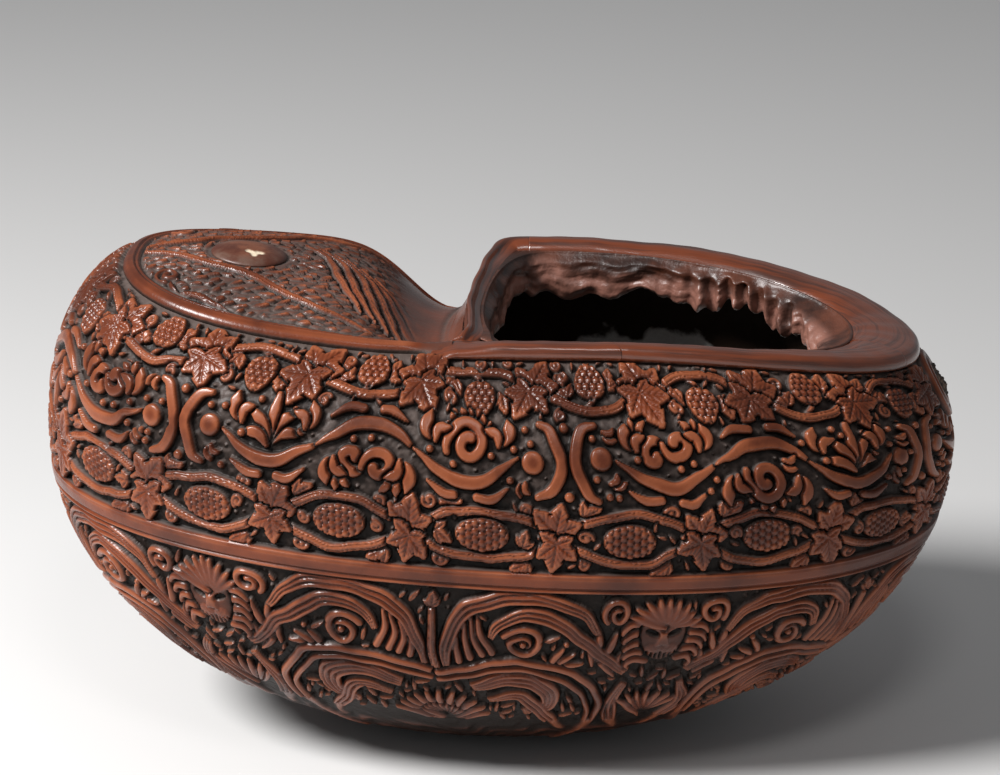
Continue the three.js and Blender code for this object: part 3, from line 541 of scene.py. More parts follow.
def sprig(carving, place, heading):
    leaf(carving, place - 2.6 * pointing(heading), heading, 6.0, LEAFLET, 2.1)


def curl(carving, place, heading):
    tendril(carving, place, heading, 2.0, chance.choice((-1.2, 1.2)), 0.75, 1.9)


def bud(carving, place, heading):
    small_leaf(carving, place, heading, 3.6, 1.4)


VINE_FILLINGS = (("sprigs", sprig, 2.5, 3000), ("curls", curl, 1.9, 3000), ("buds", bud, 1.35, 6000))


def fill_vine(carving, stretches):
    """Sprigs, then curls, then buds, each between two rows of its own."""
    for (name, form, room, tries), (low, high) in zip(VINE_FILLINGS, stretches):
        print(name, fill_gaps(carving, low, high, room, tries, form))


print("fillings:", [name for name, *_ in VINE_FILLINGS])

# %% [markdown]
# ## Two vines
# A vine with grapes runs round the nut under the rim, and another over the belt. The upper one waves, with a
# bunch in every bend. The lower one is two stems that meet and part, with a bunch in every eye. A pattern
# repeated by an array would look stamped, so each leaf is drawn anew, by chance a little larger or turned.

# %% The upper vine
UPPER_WAVES = 10
UPPER_MIDDLE = 56.2
UPPER_SWING = 6.0
UPPER_PHASE = 32.5
UPPER_BUNCH = (11.8, 10.4)
HALF_WAVE = LOOP / UPPER_WAVES / 2
UPPER_BENDS = [(UPPER_PHASE + k * HALF_WAVE, -1 if k % 2 else 1) for k in range(-1, 2 * UPPER_WAVES + 1)]


def upper_vine(carving):
    for s_k, up in UPPER_BENDS:
        bend = np.array([s_k, UPPER_MIDDLE + UPPER_SWING * up])
        leaf(carving, bend + (6.4, -6.5 * up), -70 * up, 8.2, LEAFLET)
        leaf(carving, bend + (-7.6, -4.0 * up), 180 + 60 * up, 7.8, LEAFLET)
        tendril(carving, bend + (-9.2, -10.6 * up), 90 * up, 2.3, 1.3 * up)
        stalk = bend + (-0.1 * HALF_WAVE, -0.5 * up)
        middle = np.array([s_k + 0.5, UPPER_MIDDLE - 3.0 * up])
        carving.rib(flowing([stalk, (stalk + middle) / 2 + (2.2, 0.6 * up), middle]), (1.1, 0.9), 2.1)
    s = np.arange(-PAD, LOOP + PAD, STEP)
    swing = UPPER_SWING * np.cos(np.pi * (s - UPPER_PHASE) / HALF_WAVE)
    carving.rib(np.stack([s, UPPER_MIDDLE + swing], axis=1), (1.65, 1.65), 2.3, stem_top, halo=0.3)
    for s_k, up in UPPER_BENDS:
        node = np.array([s_k + 0.47 * HALF_WAVE, UPPER_MIDDLE])
        leaf(carving, node + (0.8, 0.8), 90 - 24 * up, 11.4)
        leaf(carving, node + (-0.8, -0.8), 270 - 24 * up, 11.0)
        bunch(carving, np.array([s_k + 0.5, UPPER_MIDDLE - 3.4 * up]), -90 * up, *UPPER_BUNCH)


upper_vine(board)
print("upper vine: %d bunches" % (2 * UPPER_WAVES))
fill_vine(board, ((49, 64), (48, 65), (47.5, 65.5)))

# %% The lower vine
LOWER_NODES = 17
LOWER_MIDDLE = 13.8
LOWER_SWING = 7.2
LOWER_PHASE = 9.2
LOWER_BUNCH = dict(length=16.0, width=10.4, berry=1.15, taper=0)


def lower_vine(carving):
    pitch = LOOP / LOWER_NODES
    s = np.arange(-PAD, LOOP + PAD, STEP)
    numbers = range(-1, LOWER_NODES + 1)
    for k in numbers:
        node = np.array([LOWER_PHASE + (k + 0.5) * pitch, LOWER_MIDDLE])
        leaf(carving, node + (7.6, 7.0), 25, 7.2, LEAFLET)
        leaf(carving, node + (-7.6, -7.0), 205, 7.2, LEAFLET)
        tendril(carving, node + (-8.4, 7.4), 250, 2.3, -1.3)
        tendril(carving, node + (8.4, -7.4), 70, 2.3, -1.3)
    for side in (1, -1):
        swing = side * LOWER_SWING * np.abs(np.cos(np.pi * (s - LOWER_PHASE) / pitch)) ** 0.8
        carving.rib(np.stack([s, LOWER_MIDDLE + swing], axis=1), (1.55, 1.55), 2.3, stem_top)
    for k in numbers:
        s_k = LOWER_PHASE + k * pitch
        node = np.array([s_k + pitch / 2, LOWER_MIDDLE])
        leaf(carving, node + (0, 1.4), 70 + chance.uniform(-12, 12), 10.0)
        leaf(carving, node + (0, -1.4), 262 + chance.uniform(-12, 12), 9.4)
        bunch(carving, (s_k, LOWER_MIDDLE), 0, **LOWER_BUNCH)


lower_vine(board)
print("lower vine: %d bunches" % LOWER_NODES)
fill_vine(board, ((7, 21), (6.5, 22), (5.5, 23)))

# %% [markdown]
# ## The middle band
# A broad band of bold strokes runs round the nut in cartouches, closed by pairs of brackets. A scrolling stem
# fills each one: every bend holds a coil, a palmette or a pair of curls, and split leaves like commas fill
# the corners. Strokes are flat on top and as high as the relief allows, so that the band is clear from afar.

# %% Brackets and commas
MIDDLE = 35.5
BRACKET_BAR = ((8.6, 10.4), (5.4, 8.8), (3.6, 5), (2.4, 0), (3.6, -5), (5.4, -8.8), (8.6, -10.4))
BRACKET_WIDTHS = (1.2, 2.0, 2.1, 2.1, 2.1, 2.0, 1.2)


def mirrored(points, axis, side):
    """Points given from an upright axis, laid out on one side of it."""
    return [(axis + side * u, v) for u, v in points]


def bracket(carving, s):
    """Two curved bars back to back, with a button on each side."""
    for side in (-1, 1):
        bar = [(u, MIDDLE + v) for u, v in mirrored(BRACKET_BAR, s, side)]
        carving.bold_rib(bar, BRACKET_WIDTHS)
        carving.boss((s + side * 10.4, MIDDLE + 0.3 * side), 3.6)
    for side in (1, -1):
        carving.boss((s, MIDDLE + 9.2 * side), 1.7)


def comma(carving, root, heading, length, bend, width=2.2):
    """A split leaf: a fat curl and a thinner one beside it."""
    for turn, share, wide in ((0, 1.0, width), (52 * bend, 0.7, 0.75 * width)):
        tip = root + share * length * pointing(heading + turn)
        middle = (root + tip) / 2 + 0.22 * length * bend * pointing(heading + turn - 90)
        carving.bold_rib([root, middle, tip], (0.8, wide, 1.1 * wide, 0.5))


print("a bracket is %.1f mm high" % (BRACKET_BAR[0][1] - BRACKET_BAR[-1][1]))

# %% Fillings of the bends
PALMETTE = ((22, 8.6), (56, 11.2), (90, 14.0), (124, 11.2), (158, 8.6))


def coil(carving, centre, up):
    """A stem that rolls up, with hooks on its back."""
    for turn in (60, 105, 150):
        hook = centre + 6.4 * pointing(turn * up)
        comma(carving, hook, turn * up - 50 * up, 4.4, up, 1.5)
    carving.rib(spiral(centre, 205 * up, 6.6, -1.35 * up, 0.8), (1.3, 1.9, 1.9, 1.8, 2.0), RELIEF, flat_top)


def palmette(carving, centre, up):
    """Five fat strokes that spread from the bend."""
    root = centre - (0, 6.2 * up)
    for turn, length in PALMETTE:
        tip = root + length * pointing(turn * up)
        middle = (root + tip) / 2 + 1.3 * np.sign(turn - 90) * pointing((turn - 90) * up)
        carving.bold_rib([root, middle, tip], (0.9, 1.8, 2.1, 1.2))
        if turn != 90:
            carving.boss(tip + 1.4 * pointing(turn * up + 40), 1.5)


def twin_curls(carving, centre, up):
    """Two curls that turn round each other."""
    for side in (-1, 1):
        eye = centre + (3.9 * side, 1.2 * side * up)
        carving.rib(spiral(eye, 90 + 90 * side, 4.4, 0.95 * up, 0.7), (1.1, 1.9, 1.8, 2.0), RELIEF, flat_top)
        comma(carving, centre + (6.6 * side, 3.8 * up), 90 * up - 30 * side * up, 5.6, side * up, 1.7)


FILLINGS = (coil, palmette, twin_curls)
print("kinds of filling:", len(FILLINGS))

# %% The band of scrolls
CARTOUCHES = 6
BRACKET_AT = 83.2
SCROLL_SWING = 6.4
BENDS = 4
SCROLL_WIDTHS = (0.6, 1.7, 2.4, 2.3, 1.7, 0.6)


def cartouche(carving, start, span, number):
    """A waving stem between two brackets, with a filling in every bend and commas in the corners."""
    pitch = span / BENDS
    for i in range(1, BENDS):
        s = start + np.arange((i - 0.52) * pitch, (i + 0.52) * pitch, STEP)
        wave = MIDDLE + SCROLL_SWING * np.cos(np.pi * (s - start) / pitch)
        carving.rib(np.stack([s, wave], axis=1), SCROLL_WIDTHS, RELIEF, flat_top, halo=0.9)
        up = 1 if i % 2 else -1
        centre = np.array([start + i * pitch, MIDDLE + 4.0 * up])
        FILLINGS[(number + i) % len(FILLINGS)](carving, centre, up)
        for side in (-1, 1):
            corner = centre + (9.6 * side, -0.6 * up)
            comma(carving, corner, 90 * up - 14 * side * up, 8.4, side * up)
            foot = np.array([start + i * pitch + 3.0 * side, MIDDLE - 10.4 * up])
            tail = [foot, foot + (4.4 * side, -0.2 * up), foot + (8.4 * side, 2.0 * up)]
            carving.bold_rib(tail, (1.5, 1.6, 0.6))


def scroll_band(carving):
    span = LOOP / CARTOUCHES
    for k in range(-1, CARTOUCHES + 1):
        start = BRACKET_AT + k * span
        cartouche(carving, start, span, k % CARTOUCHES)
        bracket(carving, start)


def stroke(carving, place, heading):
    comma(carving, place - 1.8 * pointing(heading), heading, 4.4, 1, 1.5)


def dot(carving, place, _):
    carving.boss(place, 1.35)


scroll_band(board)
print("tallest stroke %.2f mm" % board.height.max())
print("strokes", fill_gaps(board, 26, 45.5, 2.3, 4000, stroke))
print("dots", fill_gaps(board, 25, 46.5, 1.5, 5000, dot))

# %% [markdown]
# ## The frieze under the belt
# Plumes of fluted acanthus rise from an upright stem and curl over towards beast masks, which repeat round
# the nut. A plume is a bundle of ribs side by side along one path, and a fan spreads them from one root.


# %% Plumes and fans
def sideways(tangents):
    """Unit directions square to the given ones."""
    return unit(np.stack([-tangents[:, 1], tangents[:, 0]], axis=1))


def plume(carving, points, ribs, width, ends=(0.5, 0.35)):
    """A bundle of ribs along one path, pressed together at both ends."""
    path = flowing(points)
    normal = sideways(np.gradient(path, axis=0))
    t = np.linspace(0, 1, len(path))
    swell = np.interp(t, (0, 0.35, 0.7, 1), (ends[0], 1, 1, ends[1]))
    radius = width / ribs / 2
    widths = (radius * ends[0] * 1.5, 1.2 * radius, 1.2 * radius, radius * ends[1] * 1.7)
    for i in range(ribs):
        offset = (i - (ribs - 1) / 2) * width / ribs * swell
        carving.rib(path + normal * offset[:, None], widths, 2.3, halo=0.15)


def fan(carving, root, headings, length, width, bend=0.0, halo=0.35):
    """Flutes that spread from one root."""
    widths = (0.5 * width, width, 1.1 * width, 0.5 * width)
    for heading in headings:
        tip = root + length * pointing(heading)
        middle = (root + tip) / 2 + bend * length * pointing(heading + 90)
        carving.rib(flowing([root, middle, tip]), widths, 2.2, halo=halo)


FRIEZE_CELLS = 5
FRIEZE_CELL = LOOP / FRIEZE_CELLS
MASK_AT = 90
STEMS = [MASK_AT + (k + 0.5) * FRIEZE_CELL for k in range(-1, FRIEZE_CELLS + 1)]
CELL_FANS = (((58, -36), (60, 82, 104, 126), 12, 1.3, 0.08),
             ((50, -31.5), (66, 88, 110), 15.5, 1.45, -0.1),
             ((36, -34), (20, 44, 68), 11, 1.3, 0.1))
LOW_PLUME = ((61, -34), (54, -27.5), (46, -20.5), (38, -14.2), (29, -11.6), (21.5, -14.4), (18, -21))
HIGH_PLUME = ((3.6, -33), (4.4, -24), (8, -14), (15.5, -7.8), (26, -5.6), (38, -6.6), (46.5, -10.8),
              (50.5, -17.5))
FLUTE_TOPS = ((7.5, -16.5), (9.6, -15.0), (12.0, -13.6), (14.4, -12.6))


def half_cell(carving, axis, side):
    """From the upright stem of a cell to the mask at its end."""
    def spot(u, v):
        return np.array([axis + side * u, v])

    def facing(degrees):
        return degrees if side > 0 else 180 - degrees

    for root, headings, length, width, bend in CELL_FANS:
        fan(carving, spot(*root), [facing(a) for a in headings], length, width, bend * side)
    plume(carving, mirrored(LOW_PLUME, axis, side), 3, 5.4)
    carving.rib(spiral(spot(27.6, -22.4), facing(150), 6.0, -1.5 * side, 0.78), (1.5, 1.5, 1.3, 1.3), 2.3)
    for i, (u, v) in enumerate(FLUTE_TOPS):
        foot = (8.2 + 3.1 * i, -30.5 + 1.1 * i)
        flute_path = ((u, v), ((u + foot[0]) / 2 - 1.2, (v + foot[1]) / 2), foot)
        carving.rib(flowing(mirrored(flute_path, axis, side)), (0.8, 1.35, 1.5), 2.2, halo=0.35)
    plume(carving, mirrored(HIGH_PLUME, axis, side), 3, 5.6)
    carving.rib(spiral(spot(56.4, -10.4), facing(215), 4.6, -1.4 * side, 0.75), (1.2, 1.3, 1.3, 1.1), 2.3)
    carving.boss(spot(27.8, -22.2), 1.4)
    carving.boss(spot(41, -22.5), 1.2)


print("frieze: %d cells of %.1f mm" % (FRIEZE_CELLS, FRIEZE_CELL))

# %% Beast masks
MASK_LEVEL = -18.0
EYE_ASIDE = 3.4
MANE = ((3.0, 8.2), (-0.4, 8.0), (-3.8, 7.4), (-7.2, 6.6), (-10.4, 5.4))


def mask_face(x, y):
    """Heights of a face, left and right alike, and how far inside its edge each point is."""
    aside = np.abs(x)
    inside = 1 - np.hypot(x / (7.4 + 0.1 * y), (y + 0.5) / 10.4)
    face = 1.2 + 0.35 * inside
    brow = y - 3.4 - 0.45 * (aside - EYE_ASIDE)
    face += 0.85 * dip(brow, 1.0) * smooth(aside, 0.5, 1.5)
    eye = np.hypot((aside - EYE_ASIDE) / 2.2, (y - 0.9 - 0.35 * (aside - EYE_ASIDE)) / 1.25)
    face -= 1.7 * smooth(eye, 1.15, 0.7)
    bridge = smooth(0.9 + 0.24 * np.clip(3.2 - y, 0, 7) - aside, 0, 0.6)
    face += 0.8 * (bridge * smooth(y, -3.9, -3.1) * smooth(y, 4.4, 3.2))
    muzzle = np.hypot((aside - 2.7) / 2.9, (y + 5.3) / 2.3)
    whiskers = 1 - 0.25 * (np.sin(7 * y + 2 * aside) > 0.4)
    face += 0.75 * np.clip(1 - muzzle ** 2, 0, 1) ** 0.5 * whiskers
    mouth = smooth(1.5 - np.abs(y + 8.3 - 0.05 * x * x), 0, 0.3) * smooth(5.4 - aside, 0, 0.5)
    teeth = smooth(np.abs(((x / 1.5) % 1) - 0.5), 0.42, 0.3)
    face -= mouth * (1.5 - 1.7 * teeth)
    return np.clip(face, 0.08, RELIEF) * smooth(inside, 0, 0.06), 8 * inside


def mask(carving, s):
    """A lion-like head: a ribbed crest, slanted brows over hollow eyes, a broad muzzle, teeth and a mane."""
    centre = np.array([s, MASK_LEVEL])
    for side in (-1, 1):
        for level, reach in MANE:
            root = centre + (5.6 * side, level)
            bends = ((0.6 * reach, 0.4), (0.95 * reach, -2.2), (0.8 * reach, -3.8))
            lock = [root] + [root + (u * side, v) for u, v in bends]
            carving.rib(flowing(lock), (1.6, 1.7, 1.2, 0.6), 2.25, halo=0.5)
    carving.stamp(centre - (0, 1.0), 12, mask_face)
    fan(carving, centre + (0, 1.8), range(22, 159, 17), 11.2, 1.75, halo=0.1)


def frieze(carving):
    for k, stem in enumerate(STEMS, -1):
        for side in (-1, 1):
            half_cell(carving, stem, side)
        carving.rib(flowing([(stem, -35.5), (stem, -22), (stem, -9)]), (1.7, 1.6, 1.2), 2.3, stem_top)
        leaf(carving, np.array([stem, -11.0]), 90, 5.6, LEAFLET)
        mask(carving, MASK_AT + k * FRIEZE_CELL)


frieze(board)
print("frieze: %d masks" % FRIEZE_CELLS)

# %% [markdown]
# ## Cartouches on the keel
# Double beads swing from cusp to cusp under the frieze and close over the keel. Fluted shells and feathers
# fill them, more worn the nearer they are to the foot.

# %% Keel frames
FRAME_BEAD = ((0, -37), (8, -34.6), (18, -31.6), (28, -30.4), (38, -32), (46, -36.5), (52, -44), (55, -54),
              (54, -65), (49, -75), (44, -83))
TWIN_BEADS = ((0, 1.6), (3.4, 1.25))
FEATHERS = ((((12, -42.5), (22, -38), (31, -39), (37, -45), (36, -52), (29, -55)), 4, 8.0),
            (((17, -49), (25, -46), (30.5, -50), (44, -70)), 3, 5.0),
            (((62, -40), (58.5, -50), (61, -62), (66, -72)), 3, 5.4))


def keel_frames(carving):
    for stem in STEMS:
        shell_root = np.array([stem, -64.0])
        fan(carving, shell_root, range(20, 161, 14), 17, 1.9)
        fan(carving, shell_root + (0, 2), range(34, 147, 14), 9, 1.3)
        gap = np.array([stem - FRIEZE_CELL / 2, -61.0])
        fan(carving, gap, range(48, 133, 14), 16, 1.6)
        for side in (-1, 1):
            for points, ribs, width in FEATHERS:
                plume(carving, mirrored(points, stem, side), ribs, width)
            for drop, radius in TWIN_BEADS:
                path = [(stem + side * u * (1 - drop / 60), v - drop) for u, v in FRAME_BEAD]
                carving.rib(flowing(path), (radius, radius), 2.35, halo=0.9)


def keel_waves(carving):
    """Low worn flutes where nothing else is left near the foot."""
    s, h = np.meshgrid(carving.along, carving.across)
    turn = 2 * np.pi * (s - MASK_AT) * FRIEZE_CELLS / LOOP
    flow = h + 7 * np.cos(2 * turn) + 2.5 * np.sin(6 * turn + 0.25 * h)
    flutes = 1.3 * np.abs(np.sin(np.pi * flow / 5.6)) ** 0.8
    carving.height = np.maximum(carving.height, flutes * smooth(h, -64, -72))


def flute(carving, place, heading):
    small_leaf(carving, place, 60 + 60 * math.sin(math.radians(heading)), 6.4, 1.7)


keel_frames(board)
print("flutes", fill_gaps(board, -60, -6, 2.2, 7000, flute))
print("buds", fill_gaps(board, -60, -5.5, 1.4, 9000, bud))

# %% [markdown]
# ## Pearls and the belt
# Where the ground is still bare, the carver punched small round grains. A plain belt with a fine line parts
# the bands from the frieze. The grains are drawn like every other form, and the belt is laid over them.

# %% Fold the padding back
BLUR_PASSES = 2


def folded(carving):
    """Drops the drawing past the two ends of the loop, which repeats what is drawn inside them."""
    whole = Carving(COLUMN_AT, carving.across)
    whole.height = carving.height[:, pad_cells:-pad_cells].copy()
    return whole


def blurred(field, cells, wrap=True):
    """A soft average over a square of cells. The second axis closes on itself if wrap says so."""
    shifts = range(-cells, cells + 1)
    for _ in range(BLUR_PASSES):
        for axis, rule in ((0, "clip"), (1, "wrap" if wrap else "clip")):
            index = np.arange(field.shape[axis])
            shifted = [np.take(field, index + shift, axis=axis, mode=rule) for shift in shifts]
            field = sum(shifted) / len(shifts)
    return field


flank_carving = folded(board)
print("flank carving", flank_carving.height.shape)

# %% Pearls and belt
PEARL = 0.7
PEARL_SIZES = (0.8, 1.25)
PEARL_ROOM = 1.2
PEARL_BARE = 0.25
PEARL_TRIES = 4200
BELT_LINES = ((-1.7, 0.4, 1.0), (2.3, 0.3, 0.35))


def scatter_pearls(carving, low, high):
    """Small round grains on the bare ground."""
    made = 0
    for s, h in zip(chance.uniform(0, LOOP, PEARL_TRIES), chance.uniform(low, high, PEARL_TRIES)):
        window, grid, _ = carving.patch((s - PEARL_ROOM, h - PEARL_ROOM), (s + PEARL_ROOM, h + PEARL_ROOM))
        if grid.size and carving.height[window].max() < PEARL_BARE:
            carving.boss((s, h), PEARL * chance.uniform(*PEARL_SIZES), 1.0)
            made += 1
    return made


def belt_profile(h):
    """A plain band with a fine line above, and a narrow fillet cut off below by a groove."""
    band = RELIEF * smooth(BELT_HALF - np.abs(h), 0.1, 0.7)
    for place, width, depth in BELT_LINES:
        band = band - depth * dip(h - place, width)
    return band


print("pearls:", scatter_pearls(flank_carving, 4.5, 66), scatter_pearls(flank_carving, -36, -4.5))
belt_rows = np.abs(ROW_AT) < BELT_HALF
flank_carving.height[belt_rows] = belt_profile(ROW_AT[belt_rows])[:, None]
print("mean height %.2f mm" % flank_carving.height.mean())

# %% [markdown]
# ## Plain places
# Round the plug on the tip there is a smooth raised ring, cut by distance in space after the ornament, as a
# carver trims the bands to the fittings. Then all edges are eased a little, the bare ground gets the marks of
# the chisel, and a narrow groove parts the flank from the border and the rim.

# %% Ring on the tip and the hand-cut ground
plug_low, plug_high = solid_box("tip_plug")
PLUG_CENTRE = (plug_low + plug_high) / 2 - (0, 0, WIDEST_LEVEL)
TIP_RING = (6.6, 11.5)
RING_LINE = (0.5, 0.8)
WEAR = 0.25
CHISEL_MARKS = 0.3
TOP_GROOVE = (0.2, 2.2)


def ring_on_tip(height, points):
    apart = np.linalg.norm(points - PLUG_CENTRE, axis=2).T
    inner, outer = TIP_RING
    line_width, line_depth = RING_LINE
    ring = RELIEF * smooth(apart, inner - 0.8, inner + 0.6) * smooth(apart, outer + 1.2, outer - 0.4)
    ring -= line_depth * dip(apart - (inner + outer) / 2, line_width) * (ring > 1)
    clear = smooth(apart, outer + 1.2, outer + 4)
    return np.maximum(height * clear, ring)


flank_height = ring_on_tip(flank_carving.height, flank)
flank_height = blurred(flank_height, 1) * WEAR + flank_height * (1 - WEAR)
ground_marks = blurred(chance.normal(0, 1, flank_height.shape), 1)
flank_height += CHISEL_MARKS * ground_marks * smooth(flank_height, 1.2, 0.1)
groove_low, groove_high = TOP_GROOVE
flank_height *= smooth(ROW_AT, FLANK_TOP - groove_low, FLANK_TOP - groove_high)[:, None]
print("flank relief %.2f to %.2f mm" % (flank_height.min(), flank_height.max()))

# %% [markdown]
# ## From drawing to wood
# Each slice of the flank becomes a closed block: the carved face in full detail, a plain inner wall on every
# fourth point, and sides that join the two. Slices keep each mesh light, and they meet edge to edge.


# %% Meshes from points
def grid_faces(columns, rows, start=0):
    """Quads over a grid of points, columns first."""
    index = start + np.arange(columns * rows).reshape(columns, rows)
    corners = index[:-1, :-1], index[1:, :-1], index[1:, 1:], index[:-1, 1:]
    return np.stack([c.ravel() for c in corners], axis=1)


def side_faces(outer, inner):
    """Joins an edge of fine points to an edge of coarse ones, one many-sided face for each coarse step."""
    faces = []
    for i in range(len(inner) - 1):
        fine = list(outer[i * COARSE:(i + 1) * COARSE + 1])
        faces.append(fine[::-1] + [inner[i], inner[i + 1]])
    return faces


def new_piece(name, vertices, faces, smooth_faces):
    mesh = bpy.data.meshes.new(name)
    mesh.from_pydata((vertices + (0, 0, WIDEST_LEVEL)) * MM, [], faces)
    flags = np.zeros(len(mesh.polygons), bool)
    flags[:smooth_faces] = True
    mesh.polygons.foreach_set("use_smooth", flags)
    mesh.update()
    piece = bpy.data.objects.new(name, mesh)
    bpy.context.scene.collection.objects.link(piece)
    return piece


def set_values(piece, **fields):
    """Stores numbers on the points, for the finish to read."""
    for name, values in fields.items():
        layer = piece.data.attributes.new(name, "FLOAT", "POINT")
        layer.data.foreach_set("value", np.asarray(values, np.float32).ravel())


print("each coarse step takes up %d cells" % COARSE)

# %% Closed carved blocks
PIT_CELLS = 4
PIT_DEPTH = 1.2


def carved_block(name, points, normals, height, sides, pit, shading):
    """A closed block with a carved face, from grids with columns first. sides names its side walls."""
    columns, rows = height.shape
    outer = points + normals * (height - RELIEF)[..., None]
    inner = (points - normals * wall_at(points[..., :1]))[::COARSE, ::COARSE]
    index = np.arange(columns * rows).reshape(columns, rows)
    coarse = columns * rows + np.arange(inner[..., 0].size).reshape(inner.shape[:2])
    face = grid_faces(columns, rows).tolist()
    back = grid_faces(*coarse.shape, start=columns * rows)[:, ::-1].tolist()
    edges = {"low": (index[:, 0], coarse[:, 0]), "end": (index[-1], coarse[-1]),
             "high": (index[::-1, -1], coarse[::-1, -1]), "start": (index[0, ::-1], coarse[0, ::-1])}
    walls = [wall for side in sides.split() for wall in side_faces(*edges[side])]
    vertices = np.concatenate([outer.reshape(-1, 3), inner.reshape(-1, 3)])
    vertices[:, 2] = np.maximum(vertices[:, 2], -WIDEST_LEVEL)
    piece = new_piece(name, vertices, face + back + walls, len(face) + len(back))
    plain = np.zeros(inner[..., 0].size)
    set_values(piece, relief=np.concatenate([height.ravel() / RELIEF, plain]),
               pit=np.concatenate([pit.ravel(), plain]),
               inside=np.concatenate([np.zeros(height.size), plain + 1]))
    inner_normals = -normals[::COARSE, ::COARSE].reshape(-1, 3)
    piece.data.normals_split_custom_set_from_vertices(np.concatenate([shading.reshape(-1, 3), inner_normals]))
    return piece


def pit_depth(height):
    """How far each point lies under the level around it, in a grid with columns first."""
    return np.clip((blurred(height.T, PIT_CELLS) - height.T) / PIT_DEPTH, -1, 1).T


def flank_pieces():
    made = []
    height = flank_height.T
    pit = pit_depth(height)
    shading = outward(flank + flank_normal * height[..., None])
    step = len(COLUMN_AT) // SLICES
    for k in range(SLICES):
        columns = np.arange(k * step, (k + 1) * step + 1) % len(COLUMN_AT)
        piece = carved_block("carved_flank_%d" % (k + 1), flank[columns], flank_normal[columns],
                             height[columns], "start end low high", pit[columns], shading[columns])
        made.append(piece)
        print(piece.name, len(piece.data.polygons), "faces")
    return made


flank_blocks = flank_pieces()

# %% [markdown]
# ## The keel
# Under the frieze, cartouches framed by double beads close over the keel, with worn flutes in and between
# them. The keel is one more block of the same kind. Its columns meet at a spine, where they are welded.

# %% The keel block
KEEL_SKIP = 2
KEEL_ROWS = 72
KEEL_REACH = 54
WORN_SPINE = 0.12
WELD = 0.002 * MM


def edit_all(piece, tool, **settings):
    """Uses one of Edit Mode's tools on a whole piece."""
    bpy.ops.object.select_all(action="DESELECT")
    bpy.context.view_layer.objects.active = piece
    piece.select_set(True)
    bpy.ops.object.mode_set(mode="EDIT")
    bpy.ops.mesh.select_all(action="SELECT")
    tool(**settings)
    bpy.ops.object.mode_set(mode="OBJECT")
    piece.select_set(False)
    return piece


def closed_round(name, points, normals, height, shading):
    """A carved block whose columns close on themselves, welded where they meet."""
    around = np.append(np.arange(len(points)), 0)
    piece = carved_block(name, points[around], normals[around], height[around], "high",
                         pit_depth(height)[around], shading[around])
    return edit_all(piece, bpy.ops.mesh.remove_doubles, threshold=WELD)


def keel_piece():
    columns = np.arange(0, len(COLUMN_AT), KEEL_SKIP)
    rows = np.linspace(0, 1, KEEL_ROWS + 1)
    points = points_at(flank_arcs[:, :1] * rows)[columns]
    normals = outward(points)
    normals[:, 0] = normals[:, 1]
    normals[:, 0, 1] = 0
    normals[:, 0] = unit(normals[:, 0])
    levels = FLANK_FOOT - KEEL_REACH * (1 - rows)
    keel_board = Carving(padded_along[::KEEL_SKIP], levels)
    keel_frames(keel_board)
    keel_waves(keel_board)
    pad = pad_cells // KEEL_SKIP
    height = blurred(keel_board.height[:, pad:pad + len(columns)], 1)
    height = height * smooth(rows, 0, WORN_SPINE)[:, None] + RELIEF * smooth(rows, WORN_SPINE, 0)[:, None]
    height[-1] = flank_height[0, columns]
    shading = outward(points + normals * height.T[..., None])
    return closed_round("carved_keel", points, normals, height.T, shading)


keel_block = keel_piece()
print(keel_block.name, len(keel_block.data.polygons), "faces")

# %% [markdown]
# ## The lobe's panel
# The closed lobe has a flat field inside a smooth border: rows of small leaves like scales, worn low, with
# long stems past the boss and blades that bend down to the saddle. The field runs out into the bare saddle
# and the cleft. A grid in rings round the boss covers it, so that its edge follows the border and the mouth.

# %% Outline of the panel
boss_low, boss_high = solid_box("lobe_boss")
BOSS_CENTRE = ((boss_low + boss_high) / 2)[:2]
PANEL_RAYS = 560
PANEL_RINGS = 128
RAY_STEP = 0.1
RAY_REACH = 110


def panel_reach():
    """Length of each ray from the boss to the border or to the throat of the mouth."""
    turn = -np.linspace(0, 2 * np.pi, PANEL_RAYS, endpoint=False)
    out = np.arange(0, RAY_REACH, RAY_STEP)
    x = BOSS_CENTRE[0] + np.cos(turn)[:, None] * out
    y = BOSS_CENTRE[1] + np.sin(turn)[:, None] * out
    in_mouth = (x > CLEFT_X + 3) & (skin(x, y)[0] > seat_level(x))
    stop = (in_border(x, y) > 0) | in_mouth
    return turn, np.argmax(stop, axis=1) * RAY_STEP


panel_turn, panel_length = panel_reach()
panel_out = panel_length[:, None] * np.linspace(0, 1, PANEL_RINGS + 1)
panel_x = BOSS_CENTRE[0] + np.cos(panel_turn)[:, None] * panel_out
panel_y = BOSS_CENTRE[1] + np.sin(panel_turn)[:, None] * panel_out
panel = np.stack([panel_x, panel_y, skin(panel_x, panel_y)[0]], axis=-1)
print("panel rays %.1f to %.1f mm" % (panel_length.min(), panel_length.max()))

